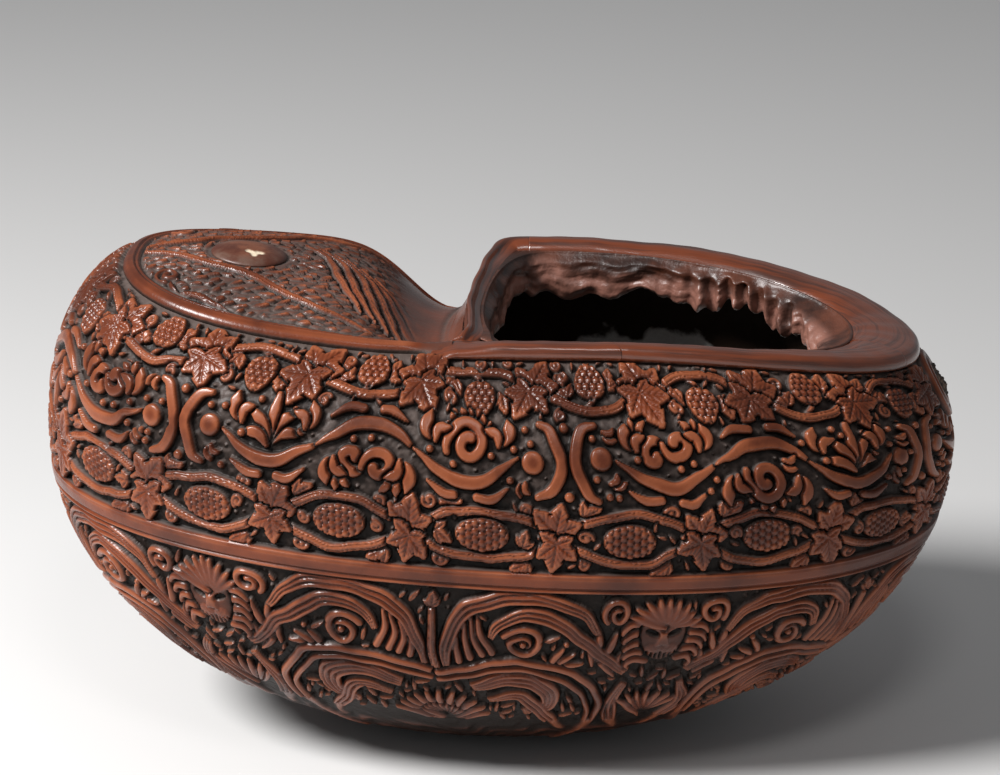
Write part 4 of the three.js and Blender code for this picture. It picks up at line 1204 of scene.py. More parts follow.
# %% Leaves on the panel
PANEL_CELL = 0.35
PANEL_BASE = 1.25
SCALE = dict(swell=1.35, foot=0.6, tip=0.5, low=1.4, rise=0.7, side=SIDE, line=(0.35, 0.25), line_end=0.85,
             least=PANEL_BASE * 0.6, halo=0.45)
BOSS_RADIUS = 12.5
LONG_STEM = ((-108, 2), (-101, 5), (-93, 9), (-87, 13), (-80, 16), (-74, 19), (-69, 23), (-63, 28), (-55, 32),
             (-45, 36), (-36, 41))
SHORT_STEM = ((-98, 27), (-95, 33), (-89, 34), (-83, 38), (-77, 42), (-66, 44), (-54, 46))
PANEL_STEMS = ((LONG_STEM, (1.0, 1.7, 2.0, 1.7, 1.4, 0.8)), (SHORT_STEM, (0.8, 1.5, 1.5, 1.2, 0.7)))
BLADE = np.array([(-61, 17), (-53, 8), (-48, -6), (-44, -18), (-40, -29)])
BLADES = 6
BLADE_SHIFT = np.array([4.6, -2.4])


def flow_past_boss(place):
    """The way the leaves point: a stream along the lobe that parts round the boss."""
    x, y = place - BOSS_CENTRE
    near = (BOSS_RADIUS ** 2) / (x * x + y * y) ** 2
    return math.degrees(math.atan2(-2 * near * x * y - 0.25 * y / 40, 1 - near * (x * x - y * y)))


def panel_leaves(carving):
    """Rows of scale leaves, then long stems past the boss and blades that bend down to the saddle."""
    for x in np.arange(-120, -14, 4.6):
        for i, y in enumerate(np.arange(-57, 58, 3.3)):
            place = np.array([x + 2.3 * (i % 2), y]) + chance.uniform(-1.2, 1.2, 2)
            if np.linalg.norm(place - BOSS_CENTRE) > BOSS_RADIUS + 1:
                heading = flow_past_boss(place) + chance.uniform(-34, 34)
                length, width = chance.uniform(3.6, 7.4), chance.uniform(1.2, 2.2)
                small_leaf(carving, place, heading, length, width, SCALE)
    for side in (-1, 1):
        for points, widths in PANEL_STEMS:
            carving.rib(flowing([(x, side * y) for x, y in points]), widths, 2.2, stem_top)
        tendril(carving, np.array([-99, 22.5 * side]), 90 * side, 4.2, 1.4 * side, 1.0)
    for number in range(BLADES):
        blade = flowing(BLADE + number * BLADE_SHIFT)
        carving.rib(blade, (0.7, 1.3, 1.7, 1.6, 0.5), 2.15, stem_top, halo=0.9)


panel_board = Carving(np.arange(-125, 8, PANEL_CELL), np.arange(-62, 62, PANEL_CELL))
panel_board.height += PANEL_BASE + 0.2 * blurred(chance.normal(0, 1, panel_board.height.shape), 3, wrap=False)
panel_leaves(panel_board)
print("panel relief up to %.2f mm" % panel_board.height.max())

# %% The panel block
BORDER_WIDTH = 5.4
BORDER_LINE = dict(share=0.76, width=0.05, depth=0.9)
BORDER_ENDS = (-10, -22)
GROOVE_HEIGHT = 0.7
BARE_SADDLE = (-37, -25)
BARE_HEIGHT = 1.5
BOSS_SEAT = (13.2, 12.2)
BOSS_SEAT_HEIGHT = 0.9


def sampled(carving, x, y):
    """Heights of a drawing at given places, read between its cells."""
    column = np.clip((x - carving.along[0]) / PANEL_CELL, 0, len(carving.along) - 1.001)
    row = np.clip((y - carving.across[0]) / PANEL_CELL, 0, len(carving.across) - 1.001)
    c, r = column.astype(int), row.astype(int)
    u, v = column - c, row - r
    h = carving.height
    low = h[r, c] * (1 - u) + h[r, c + 1] * u
    high = h[r + 1, c] * (1 - u) + h[r + 1, c + 1] * u
    return low * (1 - v) + high * v


def from_border():
    """Distance of each point from the panel's outer edge, measured square to that edge."""
    rim = panel[:, -1]
    ray = rim - panel[:, -2]
    along_rim = np.roll(rim, -1, axis=0) - np.roll(rim, 1, axis=0)
    slant = np.linalg.norm(np.cross(ray, along_rim), axis=1)
    slant /= np.linalg.norm(ray, axis=1) * np.linalg.norm(along_rim, axis=1)
    return (panel_length[:, None] - panel_out) * slant[:, None]


def panel_height():
    """The drawn field, laid bare towards the saddle, inside a groove and a rounded border with a line."""
    from_edge = from_border()
    field = sampled(panel_board, panel_x, panel_y)
    field = field + (BARE_HEIGHT - field) * smooth(panel_x + 0.12 * panel_y, *BARE_SADDLE)
    on_border = smooth(panel_x - 0.1 * panel_y, *BORDER_ENDS)
    groove = smooth(from_edge, BORDER_WIDTH + 1.6, BORDER_WIDTH + 0.2) * on_border
    field = field * (1 - groove) + GROOVE_HEIGHT * groove
    share = np.clip(from_edge / BORDER_WIDTH, 0, 1)
    fillet = RELIEF * np.clip(4 * share * (1 - share) + 0.12, 0, 1) ** 0.45
    fillet -= BORDER_LINE["depth"] * dip(share - BORDER_LINE["share"], BORDER_LINE["width"])
    band = smooth(from_edge, BORDER_WIDTH + 0.1, BORDER_WIDTH - 0.3) * on_border
    height = field + (fillet - field) * band
    boss_seat = smooth(panel_out, *BOSS_SEAT)
    height = height * (1 - boss_seat) + BOSS_SEAT_HEIGHT * boss_seat
    height[:, 0] = height[:, 1].mean()
    return height


def panel_piece():
    normals = outward(panel)
    normals[:, 0] = normals[:, 1].mean(axis=0)
    height = panel_height()
    shading = outward(panel + normals * height[..., None])
    shading[:, 0] = normals[:, 0]
    return closed_round("carved_lobe_panel", panel, normals, height, shading)


panel_block = panel_piece()
print(panel_block.name, len(panel_block.data.polygons), "faces")

# %% [markdown]
# ## The rim of the mouth
# Three strips and a lip stand on the cut edge of the mouth, with the joints that the solids have. A strip is
# a profile swept along the edge. The near strips have a round bead outside and a flat land inside, and the
# far strip is rounded over. At the saddle the near one widens and runs out in a worn nose. A curve with a
# bevel object would do, but the land changes its width all the way, so each station gets its own profile.

# %% The edge of the mouth
HOLLOW = dict(inset=7, mouth_inset=5, ends=(130, 123), cleft_spread=6)
GROUND_SKIN = dict(inset=1.6, mouth_inset=1.6, ends=(138.4, 138.4))
EDGE_STEP = 0.05
EDGE_REACH = (12, 118)
EDGE_SAMPLES = 400
EASING = 24


def mouth_edge(degrees, **wall):
    """Plan points where a skin meets the seat, in directions from the middle of the mouth."""
    turn = np.radians(degrees)
    out = np.arange(*EDGE_REACH, EDGE_STEP)
    x = MOUTH_X + np.cos(turn)[:, None] * out
    y = np.sin(turn)[:, None] * out
    inside = (skin(x, y, **wall)[0] > seat_level(x)) & (x > CLEFT_X) & (x < wall["ends"][1])
    last = np.argmin(inside, axis=1)
    rows = np.arange(len(turn))
    return np.stack([x[rows, last], y[rows, last]], axis=1)


def eased(points, closed=False):
    """Edge points without the jitter of the steps they were found in. The ends of an open edge stay put."""
    for _ in range(EASING):
        soft = (np.roll(points, 1, axis=0) + 2 * points + np.roll(points, -1, axis=0)) / 4
        if not closed:
            soft[[0, -1]] = points[[0, -1]]
        points = soft
    return points


def stations(start, end, count):
    """Outer edge, inward direction and width of the rim at even steps between two directions."""
    rough = np.linspace(start, end, EDGE_SAMPLES)
    outer = mouth_edge(rough, **GROUND_SKIN)
    length = np.concatenate([[0], np.cumsum(np.linalg.norm(np.diff(outer, axis=0), axis=1))])
    along = np.linspace(0, length[-1], count)
    degrees = np.interp(along, length, rough)
    outer = eased(mouth_edge(degrees, **GROUND_SKIN))
    inner = eased(mouth_edge(degrees, **HOLLOW))
    inward = sideways(np.gradient(outer, axis=0))
    inward *= np.sign(np.sum(inward * (inner - outer), axis=1))[:, None]
    width = np.abs(np.sum((inner - outer) * inward, axis=1))
    return outer, inward, width, along


print("mouth is %.1f mm long" % np.ptp(mouth_edge(np.array([0.0, 180.0]), **HOLLOW)[:, 0]))

# %% Profiles and sweeps
STRIP_FACE = ((0.4, 0.1), (-0.4, 0.5), (-0.75, 1.6), (-0.7, 2.9), (-0.2, 4.1), (0.9, 4.8), (2.4, 5.0))
STRIP_TOPS = {
    "bar": ((0.3, 4.95), (0.5, 4.5), (0.62, 3.2), (0.75, 2.5), (0.96, 2.3), (1.0, 1.3), (0.98, 0.15)),
    "roll": ((0.28, 4.95), (0.55, 4.5), (0.75, 3.75), (0.89, 2.8), (0.97, 1.8), (1.0, 0.9), (0.98, 0.15)),
}
LAND_EDGE = 0.4


def rounded(points, steps=2):
    """A profile with its corners eased, closed on itself."""
    points = np.asarray(points, float)
    for _ in range(steps):
        ahead = np.roll(points, -1, axis=0)
        cuts = (0.75 * points + 0.25 * ahead, 0.25 * points + 0.75 * ahead)
        points = np.stack(cuts, axis=1).reshape(-1, 2)
    return points


def strip_profile(kind, width):
    """Closed profile of a strip: distance in from the outer edge, and height over the seat."""
    start_in = STRIP_FACE[-1][0]
    room = width - LAND_EDGE - start_in
    top = [(start_in + share * room, level) for share, level in STRIP_TOPS[kind]]
    return rounded(list(STRIP_FACE) + top)


def closed_sweep(name, rings, capped=True):
    """A piece from closed rings of points. It is capped at both ends, or its last ring joins the first."""
    count, size = rings.shape[:2]
    index = np.arange(count * size).reshape(count, size)
    ahead = np.roll(index, -1, axis=1)
    corners = [index, ahead, np.roll(ahead, -1, axis=0), np.roll(index, -1, axis=0)]
    caps = []
    if capped:
        corners = [part[:-1] for part in corners]
        caps = [index[0, ::-1].tolist(), index[-1].tolist()]
    quads = np.stack([part.ravel() for part in corners], axis=1).tolist()
    piece = new_piece(name, rings.reshape(-1, 3), quads + caps, len(quads))
    middles = rings.mean(axis=1)
    run = np.cumsum(np.linalg.norm(np.diff(middles, axis=0, prepend=middles[:1]), axis=1))
    turn = np.cumsum(np.linalg.norm(np.diff(rings, axis=1, prepend=rings[:, :1]), axis=2), axis=1)
    set_values(piece, run=np.repeat(run, size), turn=turn)
    return edit_all(piece, bpy.ops.mesh.normals_make_consistent, inside=False)


print("points in a strip's profile:", len(strip_profile("bar", 10)))

# %% Strips on the near and far edge
NEAR_CORNER = 217.1
SCARF_JOINT = 243
TIP_JOINT = -18
FAR_CORNER = 135
STRIP_TOP = 5.0
STRIP_SLANT = 5.0
SLANT_RUN = 7.0
JOINT = 0.08
CALM_ENDS = 8
WANDER = ((0.16, 0.21, 2), (0.1, 0.57, 0))
SWELL = ((0.03, 0.13, 0),)
LOW_START = 0.6
CORNER_LAND = (9.5, 12)
NOSE_RINGS = 24
NOSE_LENGTH = 8.5
NOSE_WIDTH = (15, 3)
NOSE_SINK = 1.2
NOSE_WAY = np.array([-1, -0.1])


def waver(place, waves):
    """A sum of slow waves, each with a size, a pace and a start."""
    return sum(size * np.sin(pace * place + start) for size, pace, start in waves)


def worn_nose(first):
    """Rings that carry a strip's first ring on and let it sink into the skin."""
    made = []
    reach = NOSE_LENGTH * smooth(first[:, 1:2] - first[:, 1].min(), *NOSE_WIDTH)
    for share in np.linspace(1, 0, NOSE_RINGS, endpoint=False):
        ring = first.copy()
        ring[:, :2] += share * reach * NOSE_WAY
        sunk = skin(ring[:, 0], ring[:, 1])[0] - NOSE_SINK - 0.25 * (first[:, 2].max() - first[:, 2])
        ring[:, 2] += (np.minimum(sunk, ring[:, 2]) - ring[:, 2]) * smooth(share, 0, 0.9)
        made.append(ring)
    return made


def rim_strip(name, start, end, count, profile, slants=(0, 0), fade_in=0.0, turns_into=None):
    """A strip between two directions round the mouth. Slants set the ends askew, as scarf joints are."""
    outer, inward, width, along = stations(start, end, count)
    from_end = along[-1] - along
    calm = smooth(np.minimum(along, from_end), 0, CALM_ENDS)
    wander = waver(along, WANDER) * calm
    if fade_in:
        width = width + CORNER_LAND[0] * np.clip(1 - along / CORNER_LAND[1], 0, 1)
    rings = []
    for i in range(count):
        ring = strip_profile(profile, width[i])
        if turns_into:
            change = strip_profile(turns_into, width[i]) - ring
            ring += change * smooth(from_end[i], 2 * CALM_ENDS, 0)
        rise = LOW_START + (1 - LOW_START) * smooth(along[i], 0, fade_in) if fade_in else 1.0
        ring[:, 1] *= rise * (1 + calm[i] * waver(along[i], SWELL))
        ring[:, 1] += wander[i] * smooth(ring[:, 1], 1, 3) * 0.6
        ring[:, 1] = np.minimum(ring[:, 1], STRIP_TOP)
        plan = outer[i] + inward[i] * ring[:, :1]
        tangent = np.array([inward[i, 1], -inward[i, 0]]) * (-1 if start < end else 1)
        askew = ring[:, :1] / width[i] - 0.5
        near_start = smooth(along[i], SLANT_RUN, 0) * (slants[0] * askew + JOINT)
        near_end = smooth(from_end[i], SLANT_RUN, 0) * (slants[1] * askew - JOINT)
        level = seat_level(plan[:, 0])
        rings.append(np.column_stack([plan + tangent * (near_start + near_end), level + ring[:, 1]]))
    if fade_in:
        rings = worn_nose(rings[0]) + rings
    return closed_sweep(name, np.array(rings))


near_left = rim_strip("near_rim_left_strip", NEAR_CORNER, SCARF_JOINT, 150, "bar", (0, STRIP_SLANT),
                      fade_in=14)
near_right = rim_strip("near_rim_right_strip", SCARF_JOINT, 360 + TIP_JOINT, 220, "bar", (STRIP_SLANT, 0),
                       turns_into="roll")
far_strip = rim_strip("far_rim_strip", TIP_JOINT, FAR_CORNER, 330, "roll")
print("strips:", [len(p.data.polygons) for p in (near_left, near_right, far_strip)])

# %% [markdown]
# ## The lip at the throat
# Across the saddle the edge of the mouth stands up as a thin lip, bent over a little like leather. It is
# swept in the same way, with a thin profile that wavers along its length and slopes down to the hollow. It
# starts low at the near corner, and at the far corner it turns into the round profile of the far strip.

# %% The throat lip
LIP_ENDS = (209.6, 135.1)
LIP_PROFILE = ((0.3, 0.35), (0.3, 1.2), (0.6, 2.6), (0.9, 3.9), (1.3, 4.8), (1.9, 5.0), (2.5, 4.7),
               (2.9, 3.9))
LIP_LEAN = ((0.35, 0.11, 0), (0.2, 0.29, 1))
LIP_SWELL = ((0.05, 0.17, 2),)
LIP_FOOT = (0.35, 8)
LIP_JOIN = 22
LIP_NARROW = 4.2
LIP_WIDEST = 8.0


def lip_profile(width):
    """The lip, then the slope from its foot to the edge of the hollow."""
    inner = max(3.8, width - 0.9)
    slope = ((3.2, 2.9), (max(3.4, inner - 1.6), 2.5), (inner - 0.4, 2.0), (inner, 1.4), (inner, 0.7),
             (3.7, 0.35))
    return rounded(LIP_PROFILE + slope)


def throat_lip():
    outer, inward, width, along = stations(*LIP_ENDS, 190)
    width = np.minimum(width, LIP_WIDEST)
    low, run = LIP_FOOT
    rings = []
    for i in range(len(along)):
        ring = lip_profile(width[i])
        ring[:, 0] += waver(along[i], LIP_LEAN) * ring[:, 1] / STRIP_TOP
        ring[:, 0] *= min(1, width[i] / LIP_NARROW)
        ring[:, 1] *= low + (1 - low) * smooth(along[i], 0, run)
        ring[:, 1] = np.minimum(ring[:, 1] * (1 + waver(along[i], LIP_SWELL)), STRIP_TOP)
        ring += (strip_profile("roll", width[i]) - ring) * smooth(along[-1] - along[i], LIP_JOIN, 0)
        plan = outer[i] + inward[i] * ring[:, :1]
        rings.append(np.column_stack([plan, SEAT_LEVEL + ring[:, 1]]))
    return closed_sweep("throat_lip_edge", np.array(rings))


lip = throat_lip()
print("lip:", len(lip.data.polygons), "faces")

# %% [markdown]
# ## The torn lining
# Inside the mouth hangs what is left of the nut's leathery inner skin. It folds over the edge, runs down the
# wall in lumps and ends in a torn hem. At the tip's end it widens to a shelf, and on the far side it has
# shrunk into teeth. A ring of closed profiles makes it, pushed in and out by smooth noise.

# %% The lining
LINING_STATIONS = 560
LINING_ROWS = 40
LINING_DEPTH = 11.5
LINING_LOWEST = -14.8
LINING_SWELL = (0.7, 4.4)
TEAR = 1.92
TEAR_WAVES = 9
LINING_TEETH = 40
TEETH_FROM, TEETH_TO = (28, 44), (102, 90)
TEETH_BITE = 2.2
TUCK = 1.35
TUCK_DEPTH = 1.9
THROAT_FROM, THROAT_TO = (132, 136), (214, 209)
DECK = 7.0
DECK_FROM, DECK_TO = (-42, -12), (58, 14)


def soft_noise(shape, cells):
    """Smooth noise of unit size, seamless along its second axis."""
    field = blurred(chance.normal(0, 1, shape), cells)
    return field / field.std()


def lining():
    degrees = np.linspace(0, 360, LINING_STATIONS, endpoint=False)
    turn = np.radians(degrees)
    edge = mouth_edge(degrees, **HOLLOW)
    seat = np.linalg.norm(mouth_edge(degrees, **GROUND_SKIN) - edge, axis=1, keepdims=True)
    edge, seat = eased(edge, closed=True), eased(seat, closed=True)
    inward = sideways(np.roll(edge, -1, axis=0) - np.roll(edge, 1, axis=0))
    at_throat = smooth(degrees, *THROAT_FROM) * smooth(degrees, *THROAT_TO)
    tuck = TUCK + np.clip(seat[:, 0] - LIP_WIDEST + 0.6, 0, 5) * at_throat
    torn = soft_noise((1, LINING_STATIONS), 2)[0]
    hem = LINING_DEPTH + TEAR * np.sin(TEAR_WAVES * turn) + 0.7 * torn
    teeth = smooth(degrees, *TEETH_FROM) * smooth(degrees, *TEETH_TO)
    tucks = TUCK_DEPTH * teeth * np.sin(turn * LINING_TEETH + 1.5 * np.sin(5 * turn))
    grid = (LINING_ROWS, LINING_STATIONS)
    lumps = soft_noise(grid, 5) + 0.5 * soft_noise(grid, 2)
    down = np.linspace(0, 1, LINING_ROWS)
    past_end = (degrees + 180) % 360 - 180
    deck = DECK * smooth(past_end, *DECK_FROM) * smooth(past_end, *DECK_TO)
    rings = []
    for i in range(LINING_STATIONS):
        depth = hem[i] - TEETH_BITE * teeth[i] * (1 - math.sin(LINING_TEETH * turn[i])) / 2
        swell = 1.9 + 0.55 * lumps[:, i] + tucks[i] * smooth(down, 0.05, 0.5)
        swell = np.clip(swell, *LINING_SWELL) * smooth(1 - down, -0.1, 0.12) + deck[i] * smooth(down, 0, 0.4)
        face = np.column_stack([-0.3 + (0.55 + swell) * smooth(down, 0, 0.25), 2.0 - (depth + 2.0) * down])
        fold = [(-tuck[i], 1.75), (-0.7 * tuck[i], 2.0), (-0.4, 2.05)]
        behind = [(0.3, -depth + 0.6), (0.3, -0.6 * depth), (0.2, -0.3 * depth), (-0.35, 0.3),
                  (-tuck[i], 1.2)]
        ring = np.concatenate([fold, face, behind])
        plan = edge[i] + inward[i] * ring[:, :1]
        level = seat_level(edge[i, 0]) + np.clip(ring[:, 1], LINING_LOWEST, None)
        rings.append(np.column_stack([plan, level]))
    return closed_sweep("torn_lining", np.array(rings), capped=False)


husk = lining()
print("lining:", len(husk.data.polygons), "faces")

# %% [markdown]
# ## Boss and plug
# The boss on the lobe is a low round button, smooth from wear, with a pale chip. The plug on the tip fills
# the nut's germ pore: a rough, pitted scab. Both start as a sphere from Blender's own kit, pressed to size
# and moved point by point: the boss follows the skin under it, and the plug is turned to stand on the tip.

# %% The boss
CHIP = (-74.5, -4.6)
CHIP_SIZE = 2.3
CHIP_DEPTH = 0.35
BOSS_RISE = 2.3
BOSS_SUNK = 1.2


def pressed_sphere(name, radii, segments, rings):
    """A sphere primitive pressed to three radii, with its scale put into the mesh."""
    bpy.ops.object.select_all(action="DESELECT")
    bpy.ops.mesh.primitive_uv_sphere_add(segments=segments, ring_count=rings, radius=1)
    piece = bpy.context.active_object
    piece.name = name
    piece.data.name = name
    bpy.ops.transform.resize(value=[r * MM for r in radii])
    bpy.ops.object.transform_apply(location=False, rotation=False, scale=True)
    bpy.ops.object.shade_smooth()
    return piece


def mesh_points(piece):
    values = np.empty(len(piece.data.vertices) * 3)
    piece.data.vertices.foreach_get("co", values)
    return values.reshape(-1, 3) / MM


def set_points(piece, points):
    piece.data.vertices.foreach_set("co", (np.asarray(points) * MM).ravel())
    piece.data.update()


def boss_button():
    radius = (boss_high[0] - boss_low[0]) / 2
    piece = pressed_sphere("lobe_boss_button", (radius, radius, BOSS_RISE), 96, 48)
    points = mesh_points(piece)
    points[:, :2] += BOSS_CENTRE
    skin_under = skin(points[:, 0], points[:, 1])[0] - BOSS_SUNK
    points[:, 2] = np.where(points[:, 2] > 0, points[:, 2] * 1.05, points[:, 2] * 0.5) + skin_under
    aside, back = points[:, 0] - CHIP[0], points[:, 1] - CHIP[1]
    spikes = CHIP_SIZE + np.sin(3 * np.arctan2(back, aside))
    chipped = smooth(np.hypot(aside, back * 1.4), spikes + 0.35, spikes - 0.35)
    points[:, 2] -= CHIP_DEPTH * chipped
    set_points(piece, points + (0, 0, WIDEST_LEVEL))
    set_values(piece, chip=chipped)
    return piece


boss = boss_button()
print("boss stands %.1f mm over the floor" % mesh_points(boss)[:, 2].max())

# %% The plug
PLUG_RADIUS = 5.9
PLUG_RISE = 1.9
PLUG_SUNK = 1.6
PIT_GRID = (64, 128)
PIT_SPREAD = (30, 45)
PLUG_ROUGH = 0.45


def plug_scab():
    piece = pressed_sphere("tip_plug_scab", (PLUG_RADIUS, PLUG_RADIUS, PLUG_RISE), 96, 64)
    points = mesh_points(piece)
    noise = blurred(chance.normal(0, 1, PIT_GRID), 2) * 6
    row, column = (np.clip(((points[:, axis] / PLUG_RADIUS + 1) * spread).astype(int), 0, count - 1)
                   for axis, spread, count in zip((1, 0), PIT_SPREAD, PIT_GRID))
    rough = noise[row, column]
    upper = smooth(points[:, 2], 0, 0.6)
    points[:, 2] += upper * PLUG_ROUGH * rough
    nearest = np.argmin(np.linalg.norm(flank - PLUG_CENTRE, axis=2))
    here = np.unravel_index(nearest, flank.shape[:2])
    facing = Vector(flank_normal[here]).to_track_quat("Z", "Y").to_matrix()
    base = flank[here] - PLUG_SUNK * flank_normal[here]
    set_points(piece, points @ np.array(facing).T + base + (0, 0, WIDEST_LEVEL))
    set_values(piece, pit=np.clip(-rough, 0, 1) * upper)
    return piece


plug = plug_scab()
print("plug reaches x = %.1f mm" % mesh_points(plug)[:, 0].max())

# %% [markdown]
# ## Finishes
# A finish is a small graph of shader nodes. Written as sums it reads like a recipe, so one class wraps a
# socket and lets Python's operators add the Math nodes, and one method makes every other node.


# %% Sums of sockets
class Value:
    """A shader socket that can be used in sums."""

    def __init__(self, finish, socket):
        self.finish = finish
        self.socket = socket

    def sum(self, operation, first, second):
        return self.finish.node("Math", {"operation": operation}, {0: first, 1: second})

    def __add__(self, other):
        return self.sum("ADD", self, other)

    def __sub__(self, other):
        return self.sum("SUBTRACT", self, other)

    def __mul__(self, other):
        return self.sum("MULTIPLY", self, other)

    def __rsub__(self, other):
        return self.sum("SUBTRACT", other, self)

    __radd__ = __add__
    __rmul__ = __mul__


print("sockets can be added, taken away and multiplied")

# %% The finish kit
# The colour that darken mixes in: dirt together with painted shade in pits and at the feet of forms.
DIRT_AND_SHADE = (0.03, 0.025, 0.02, 1)


class Finish:
    """One material and the nodes that it is made of."""

    def __init__(self, name):
        self.material = bpy.data.materials.new(name)
        self.material.use_nodes = True
        self.tree = self.material.node_tree
        self.shader = self.tree.nodes["Principled BSDF"]

    def feed(self, socket, value):
        if isinstance(value, Value):
            self.tree.links.new(value.socket, socket)
        else:
            socket.default_value = value

    def node(self, kind, settings=None, sockets=None, output=0):
        made = self.tree.nodes.new("ShaderNode" + kind)
        for key, value in (settings or {}).items():
            setattr(made, key, value)
        for key, value in (sockets or {}).items():
            self.feed(made.inputs[key], value)
        return Value(self, made.outputs[output])

    def stored(self, name):
        return self.node("Attribute", {"attribute_name": name}, output=2)

    def place(self):
        return self.node("TexCoord", output=3)

    def noise(self, scale, detail=4.0, roughness=0.55, vector=None):
        sockets = {0: vector or self.place(), "Scale": scale, "Detail": detail, "Roughness": roughness}
        return self.node("TexNoise", sockets=sockets)

    def step(self, value, low, high):
        return self.node("MapRange", {"interpolation_type": "SMOOTHSTEP"}, {0: value, 1: low, 2: high})

    def distance(self, place, middle):
        return self.node("VectorMath", {"operation": "DISTANCE"}, {0: place, 1: middle}, output=1)

    def blend(self, share, first, second, way="MIX"):
        settings = {"data_type": "RGBA", "blend_type": way}
        return self.node("Mix", settings, {0: share, 6: first, 7: second}, output=2)

    def darken(self, colour, share):
        return self.blend(share, colour, DIRT_AND_SHADE, "MULTIPLY")

    def bump(self, height, distance):
        return self.node("Bump", sockets={"Strength": 1.0, "Distance": distance * MM, "Height": height})

    def surface(self, colour, roughness, normal=None, coat=0.0, coat_roughness=0.3, specular=0.5):
        self.feed(self.shader.inputs["Base Color"], colour)
        self.feed(self.shader.inputs["Roughness"], roughness)
        if normal:
            self.feed(self.shader.inputs["Normal"], normal)
        self.feed(self.shader.inputs["Coat Weight"], coat)
        self.shader.inputs["Coat Roughness"].default_value = coat_roughness
        self.shader.inputs["Specular IOR Level"].default_value = specular
        return self.material


print("finish kit ready, dirt is", DIRT_AND_SHADE[:3])

# %% [markdown]
# ### Carved nut
# The tops of the carving are rubbed red-brown and shine a little. The sunk ground is matt with old dirt,
# darkest at the foot of each motif, where the darkening is painted shade as well as dirt. Pale dust lies on
# the ground where it faces up, and the pale and the dark together are also painted light and shade from
# above. The stored relief and pit values tell the tops from the ground. Inside, the wall is dark, and a dry
# crust with a ragged edge clings to one side; it is painted near white, partly as painted light falling on
# the far wall.

# %% Carved nut finish
NUT_RED = (0.165, 0.036, 0.012, 1)
NUT_BROWN = (0.075, 0.018, 0.008, 1)
NUT_WORN = (0.25, 0.072, 0.030, 1)
GROUND = (0.013, 0.008, 0.006, 1)
# The pale ground colour is dust, and also painted light on ground that faces up.
GROUND_DUST_AND_LIGHT = (0.10, 0.075, 0.066, 1)
INNER_WALL = (0.03, 0.018, 0.012, 1)
# The crust's colours are pale dust painted near white, partly as painted light on the far inner wall.
CRUST_AND_LIGHT_PALE = (0.92, 0.90, 0.87, 1)
CRUST_AND_LIGHT_DARK = (0.42, 0.40, 0.38, 1)
CRUST_AND_LIGHT_MIDDLE = (0.021, 0.052, 0.0765)
CRUST_AND_LIGHT_FLATTENED = (0.6, 1, 1)
CRUST_AND_LIGHT_REACH = 0.034
CRUST_AND_LIGHT_EDGE = 0.001


def inner_wall(f):
    """The dark wall and a dry, pale coat of dust on one side, bounded by a flattened ball with a ragged edge;
    the coat is painted near white, partly as painted light on the far wall.
    """
    crumbs = f.noise(150.0, 6.0)
    flattened = f.node("VectorMath", {"operation": "MULTIPLY"}, {0: f.place(), 1: CRUST_AND_LIGHT_FLATTENED})
    out = f.distance(flattened, CRUST_AND_LIGHT_MIDDLE)
    ragged = out + 0.014 * (f.noise(60.0, 1.5) - 0.5) + 0.006 * (crumbs - 0.5)
    # Painted light: the pale patch stands partly for light falling on the far wall below the rim's shadow.
    crust_and_light = f.step(ragged, CRUST_AND_LIGHT_REACH + CRUST_AND_LIGHT_EDGE, CRUST_AND_LIGHT_REACH - CRUST_AND_LIGHT_EDGE)
    return f.blend(crust_and_light, INNER_WALL, f.blend(crumbs, CRUST_AND_LIGHT_DARK, CRUST_AND_LIGHT_PALE))


def carved_nut():
    f = Finish("carved_nut")
    relief, pit, inside = f.stored("relief"), f.stored("pit"), f.stored("inside")
    mottle = f.noise(38.0, 5.0)
    fibre = f.noise(420.0, 3.0)
    top = f.step(relief + 0.22 * (fibre - 0.5), 0.3, 0.78)
    rubbed = f.blend(f.step(mottle, 0.35, 0.68), NUT_BROWN, NUT_RED)
    rubbed = f.blend(f.step(0 - pit, 0.12, 0.55) * f.step(mottle, 0.3, 0.6), rubbed, NUT_WORN)
    # Dust and painted light: the ground is paler where it faces up, and stays dark as painted shade where it
    # faces down.
    facing = f.node("SeparateXYZ", sockets={0: f.node("NewGeometry", output=1)}, output=2)
    dust_and_light = f.step(facing + 0.5 * (mottle - 0.5), -0.2, 0.75) * (0.45 + 0.9 * fibre)
    colour = f.blend(top, f.blend(dust_and_light, GROUND, GROUND_DUST_AND_LIGHT), rubbed)
    # Painted shade with dirt: darker where a point lies below the level around it, at the foot of each motif.
    colour = f.darken(colour, f.step(pit, 0.1, 0.8) * 0.85)
    colour = f.blend(inside, colour, inner_wall(f))
    roughness = 0.46 - 0.14 * top + 0.2 * (fibre - 0.5) + 0.4 * inside
    grain = f.noise(1500.0, 3.0) * 0.4 + fibre * (1.6 - top)
    normal = f.bump(grain, 0.2)
    coat = 0.03 + 0.4 * top
    return f.surface(colour, roughness, normal, coat, coat_roughness=0.24, specular=0.12)


nut_finish = carved_nut()
print("finish", nut_finish.name)

# %% [markdown]
# ### Rim wood
# The strips are the same wood, cut along the grain and polished by hands: long dark streaks, a redder ground
# and a soft gloss. The stored run along the strip and turn round its profile make the noise flow lengthways.

# %% Rim wood finish
RIM_RED = (0.145, 0.031, 0.009, 1)
RIM_DARK = (0.055, 0.014, 0.006, 1)


